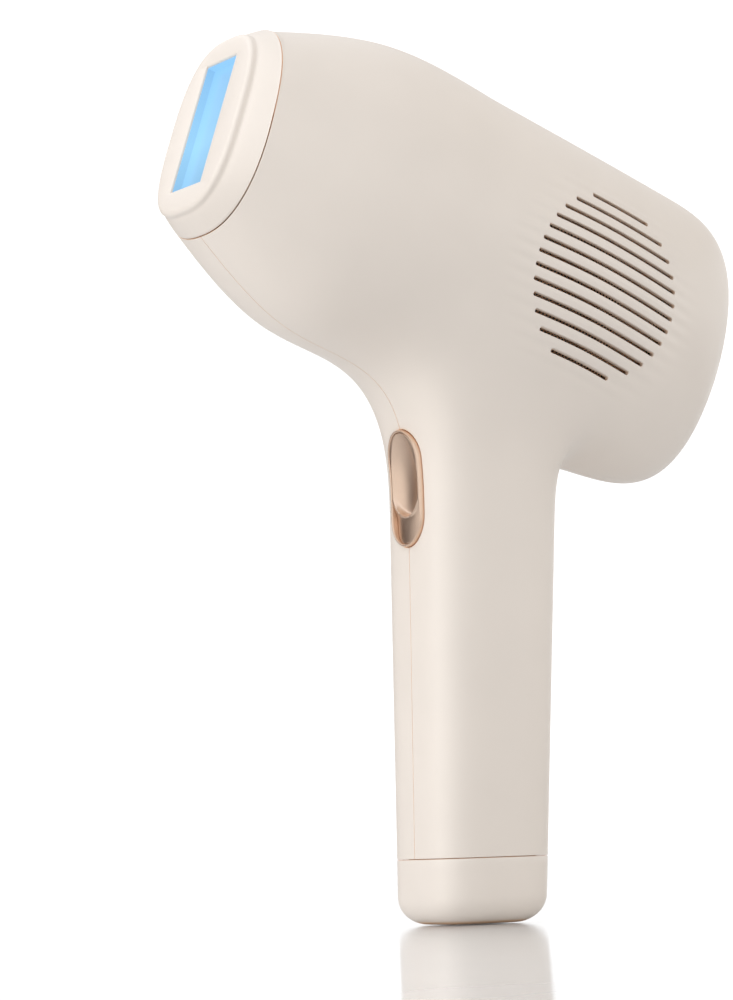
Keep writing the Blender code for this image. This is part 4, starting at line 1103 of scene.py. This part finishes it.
def make_button():
    """Rose-gold bezel standing proud round a scooped button."""
    section = ((0, 3.6), (0, 0.1), (0.02, -0.4), (0.07, -0.8), (0.16, -1.02), (0.29, -1.1),
               (0.42, -1.06), (0.54, -0.94), (0.62, -0.72), (0.65, -0.3), (0.65, 3.6))
    loops = [capsule_loop(BEZEL_HALF[0] - inset * MM, BEZEL_HALF[1] - inset * MM, depth * MM)
             for inset, depth in section]
    mesh = loft_mesh("button_bezel", loops, closed=True)
    piece("button_bezel_ring", mesh, ROSE, "body", ["button_bezel"], sharp=60)
    gap = BEZEL_WALL + 0.1 * MM
    half = (BEZEL_HALF[0] - gap, BEZEL_HALF[1] - gap)
    flange = -0.9 * MM
    seat = 3.9 * MM
    stop = seat + MM
    arc, straight = ((32, 44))

    def loop(inset, depth=None):
        outline = capsule(half[0] - inset, half[1] - inset, arc, straight)
        y = outline[:, 0]
        z = outline[:, 1]
        if depth is None:
            depth = scoop(y, z, half)
        return np.stack([front_x(y, z + BUTTON_Z) + depth, y, z + BUTTON_Z], axis=1)

    bm = bmesh.new()
    insets = np.linspace(0.12 * MM, half[0], 46)
    loops = [loop(half[0] - 0.3 * MM, stop), loop(flange, stop), loop(flange, seat), loop(0, seat)]
    rim = scoop(*capsule(*half, arc, straight).T, half)
    loops += [loop(0, rim + 0.12 * MM)]
    loops += [loop(inset) for inset in insets]
    rows = [[bm.verts.new(point) for point in row] for row in loops]
    bm.faces.new(rows[0])
    bridge(bm, rows)
    bmesh.ops.remove_doubles(bm, verts=rows[-1], dist=0.001 * MM)
    mesh = mesh_from(bm, "flash_button")
    piece("flash_button_cap", mesh, ROSE, "flash_button", ["flash_button"], sharp=60)


def scoop(y, z, half):
    """Depth of the button's face: a thumb trough ending in a crisp curve above a pad."""
    radius = half[0]
    low = -7.1 * MM + radius
    bend = 0.5 * MM
    reach = np.hypot(y, np.minimum(z - low, 0))
    rise = np.clip((z - bend) / (half[1] - bend), 0, 1)
    lip = -0.9 * MM
    wall = smooth((radius - reach) / (1.1 * MM))
    trough = lip + 2.4 * MM * np.clip(1 - (y / radius) ** 2 - rise ** 2, 0, 1) * wall
    fade = 1 - smooth((z + 7.5 * MM) / (5 * MM))
    pad = lip + (0.2 + 1.3 * (y / radius) ** 2) * MM * fade
    return pad + (trough - pad) * smooth((radius - reach) / (0.25 * MM) + 0.5)


# ---------------------------------------------------------------- finishes and set

def display_finish():
    """Smoked screen with one row of level lights under it."""
    made, tree, node = shader("smoked_display", (0.010, 0.010, 0.013), 0.08)
    vary(tree, node, "Roughness", noise(tree, 300, 2), 0.06, 0.11)
    axes = split_axes(tree, "Object")
    low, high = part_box("display_lens")
    joined = tree.nodes.new("ShaderNodeCombineXYZ")
    tree.links.new(number(tree, 'PINGPONG', axes["Y"], LEVEL_PITCH / 2), joined.inputs["X"])
    rise = number(tree, 'SUBTRACT', axes["Z"], (low + high).z / 2)
    tree.links.new(rise, joined.inputs["Y"])
    reach = combined(tree, "ShaderNodeVectorMath", 'LENGTH', joined.outputs["Vector"])
    spot = remap(tree, reach.outputs["Value"], 0.42 * MM, 0.34 * MM)
    inside = number(tree, 'COMPARE', axes["Y"], 0.0, 2.5 * LEVEL_PITCH)
    strength = number(tree, 'MULTIPLY', number(tree, 'MULTIPLY', spot, inside), 1.6)
    node.inputs["Emission Color"].default_value = (0.75, 0.88, 1.0, 1)
    tree.links.new(strength, node.inputs["Emission Strength"])
    return made


def finish_frame_nodes(slots):
    """Give every frame node that stays visible the finish of its slot."""
    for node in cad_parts.values():
        slot = node.data.materials[0].name.split(".")[0]
        node.data.materials.clear()
        node.data.materials.append(slots[slot])


def make_light():
    """Large soft lamp on the nose's side, kept out of the metal's reflections."""
    data = bpy.data.lights.new("side_light", 'AREA')
    data.shape = 'RECTANGLE'
    data.size, data.size_y = LAMP_SIZE
    data.energy = LAMP_POWER
    lamp = bpy.data.objects.new("side_light", data)
    SCENE.collection.objects.link(lamp)
    lamp.location = LAMP_PLACE
    lamp.visible_glossy = False
    aim = LAMP_TARGET - LAMP_PLACE
    lamp.rotation_euler = aim.to_track_quat('-Z', 'Y').to_euler()


def make_floor():
    """Pale glossy sheet that runs out to the horizon."""
    bm = bmesh.new()
    bmesh.ops.create_circle(bm, cap_ends=True, segments=96, radius=6.0,
                            matrix=Matrix.Translation((0, 0, -0.2 * MM)))
    floor = scratch("floor", mesh_from(bm, "floor"))
    made, tree, node = shader("floor_gloss", (0.70, 0.70, 0.70), 0.10)
    vary(tree, node, "Roughness", noise(tree, 8, 2), 0.10, 0.12)
    floor.data.materials.append(made)


def make_world():
    """Soft surroundings: brightest from the upper left, a white band at the horizon."""
    world = bpy.data.worlds.new("studio")
    SCENE.world = world
    world.use_nodes = True
    tree = world.node_tree
    back = tree.nodes["Background"]
    place = tree.nodes.new("ShaderNodeTexCoord")
    around = place.outputs["Generated"]
    kind = "ShaderNodeVectorMath"
    facing = combined(tree, kind, 'DOT_PRODUCT', around, LIGHT_FROM)
    side = remap(tree, facing.outputs["Value"], -1, 1)
    sky = mixed_colour(tree, side, DARK_SIDE, BRIGHT_SIDE)
    band = remap(tree, split_axes(tree, "Generated")["Z"], 0.42, 0.25, eased=True)
    whole = mixed_colour(tree, band, DARK_SIDE, HORIZON)
    tree.links.new(sky, rgba_input(whole, "A"))
    flat = combined(tree, kind, 'MULTIPLY', around, (1, 1, 2.2))
    unit = combined(tree, kind, 'NORMALIZE', flat.outputs["Vector"])
    behind = combined(tree, kind, 'DOT_PRODUCT', unit.outputs["Vector"], DARK_FROM)
    flag = remap(tree, behind.outputs["Value"], 0.70, 0.86, eased=True)
    shaded = mixed_colour(tree, flag, DARK_SIDE, DARK_FLAG)
    tree.links.new(whole, rgba_input(shaded, "A"))
    tree.links.new(shaded, back.inputs["Color"])


def make_camera():
    """The picture's viewpoint: low, from the front left, a long lens."""
    turn, rise, roll = (math.radians(a) for a in CAMERA_ANGLES)
    back = Vector((-math.sin(turn) * math.cos(rise), -math.cos(turn) * math.cos(rise),
                   math.sin(rise)))
    right = Vector((0, 0, 1)).cross(back).normalized()
    up = back.cross(right)
    x = math.cos(roll) * right + math.sin(roll) * up
    y = math.cos(roll) * up - math.sin(roll) * right
    data = bpy.data.cameras.new("camera")
    data.lens = CAMERA_LENS
    data.sensor_width = 36
    data.clip_start = 0.05
    camera = bpy.data.objects.new("camera", data)
    SCENE.collection.objects.link(camera)
    place = Matrix((x, y, back)).transposed().to_4x4()
    place.translation = CAMERA_TARGET + back * CAMERA_DISTANCE
    camera.matrix_world = place
    SCENE.camera = camera


DISPLAY = display_finish()
SLOTS = {
    "ivory_plastic": IVORY, "rose_gold": ROSE, "filter_glass": PAINTED_GLOW_GLASS, "bright_reflector": SILVER,
    "white_ceramic": CERAMIC, "black_plastic": BLACK, "grey_plastic": GREY,
    "smoked_lens": SMOKE, "contact_brass": BRASS, "fin_aluminium": ALUMINIUM,
    "screw_steel": STEEL, "board_green": BOARD, "coil_copper": COPPER,
    "capacitor_sleeve": SLEEVE,
}
finish_frame_nodes(SLOTS)
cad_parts["flash_lamp"].data.materials[0] = GLASS
make_shells()
make_bottom_cap()
make_rear_panel()
make_nose()
make_screens()
make_button()
make_floor()
make_world()
make_camera()
make_light()
SCENE.view_settings.view_transform = 'Standard'
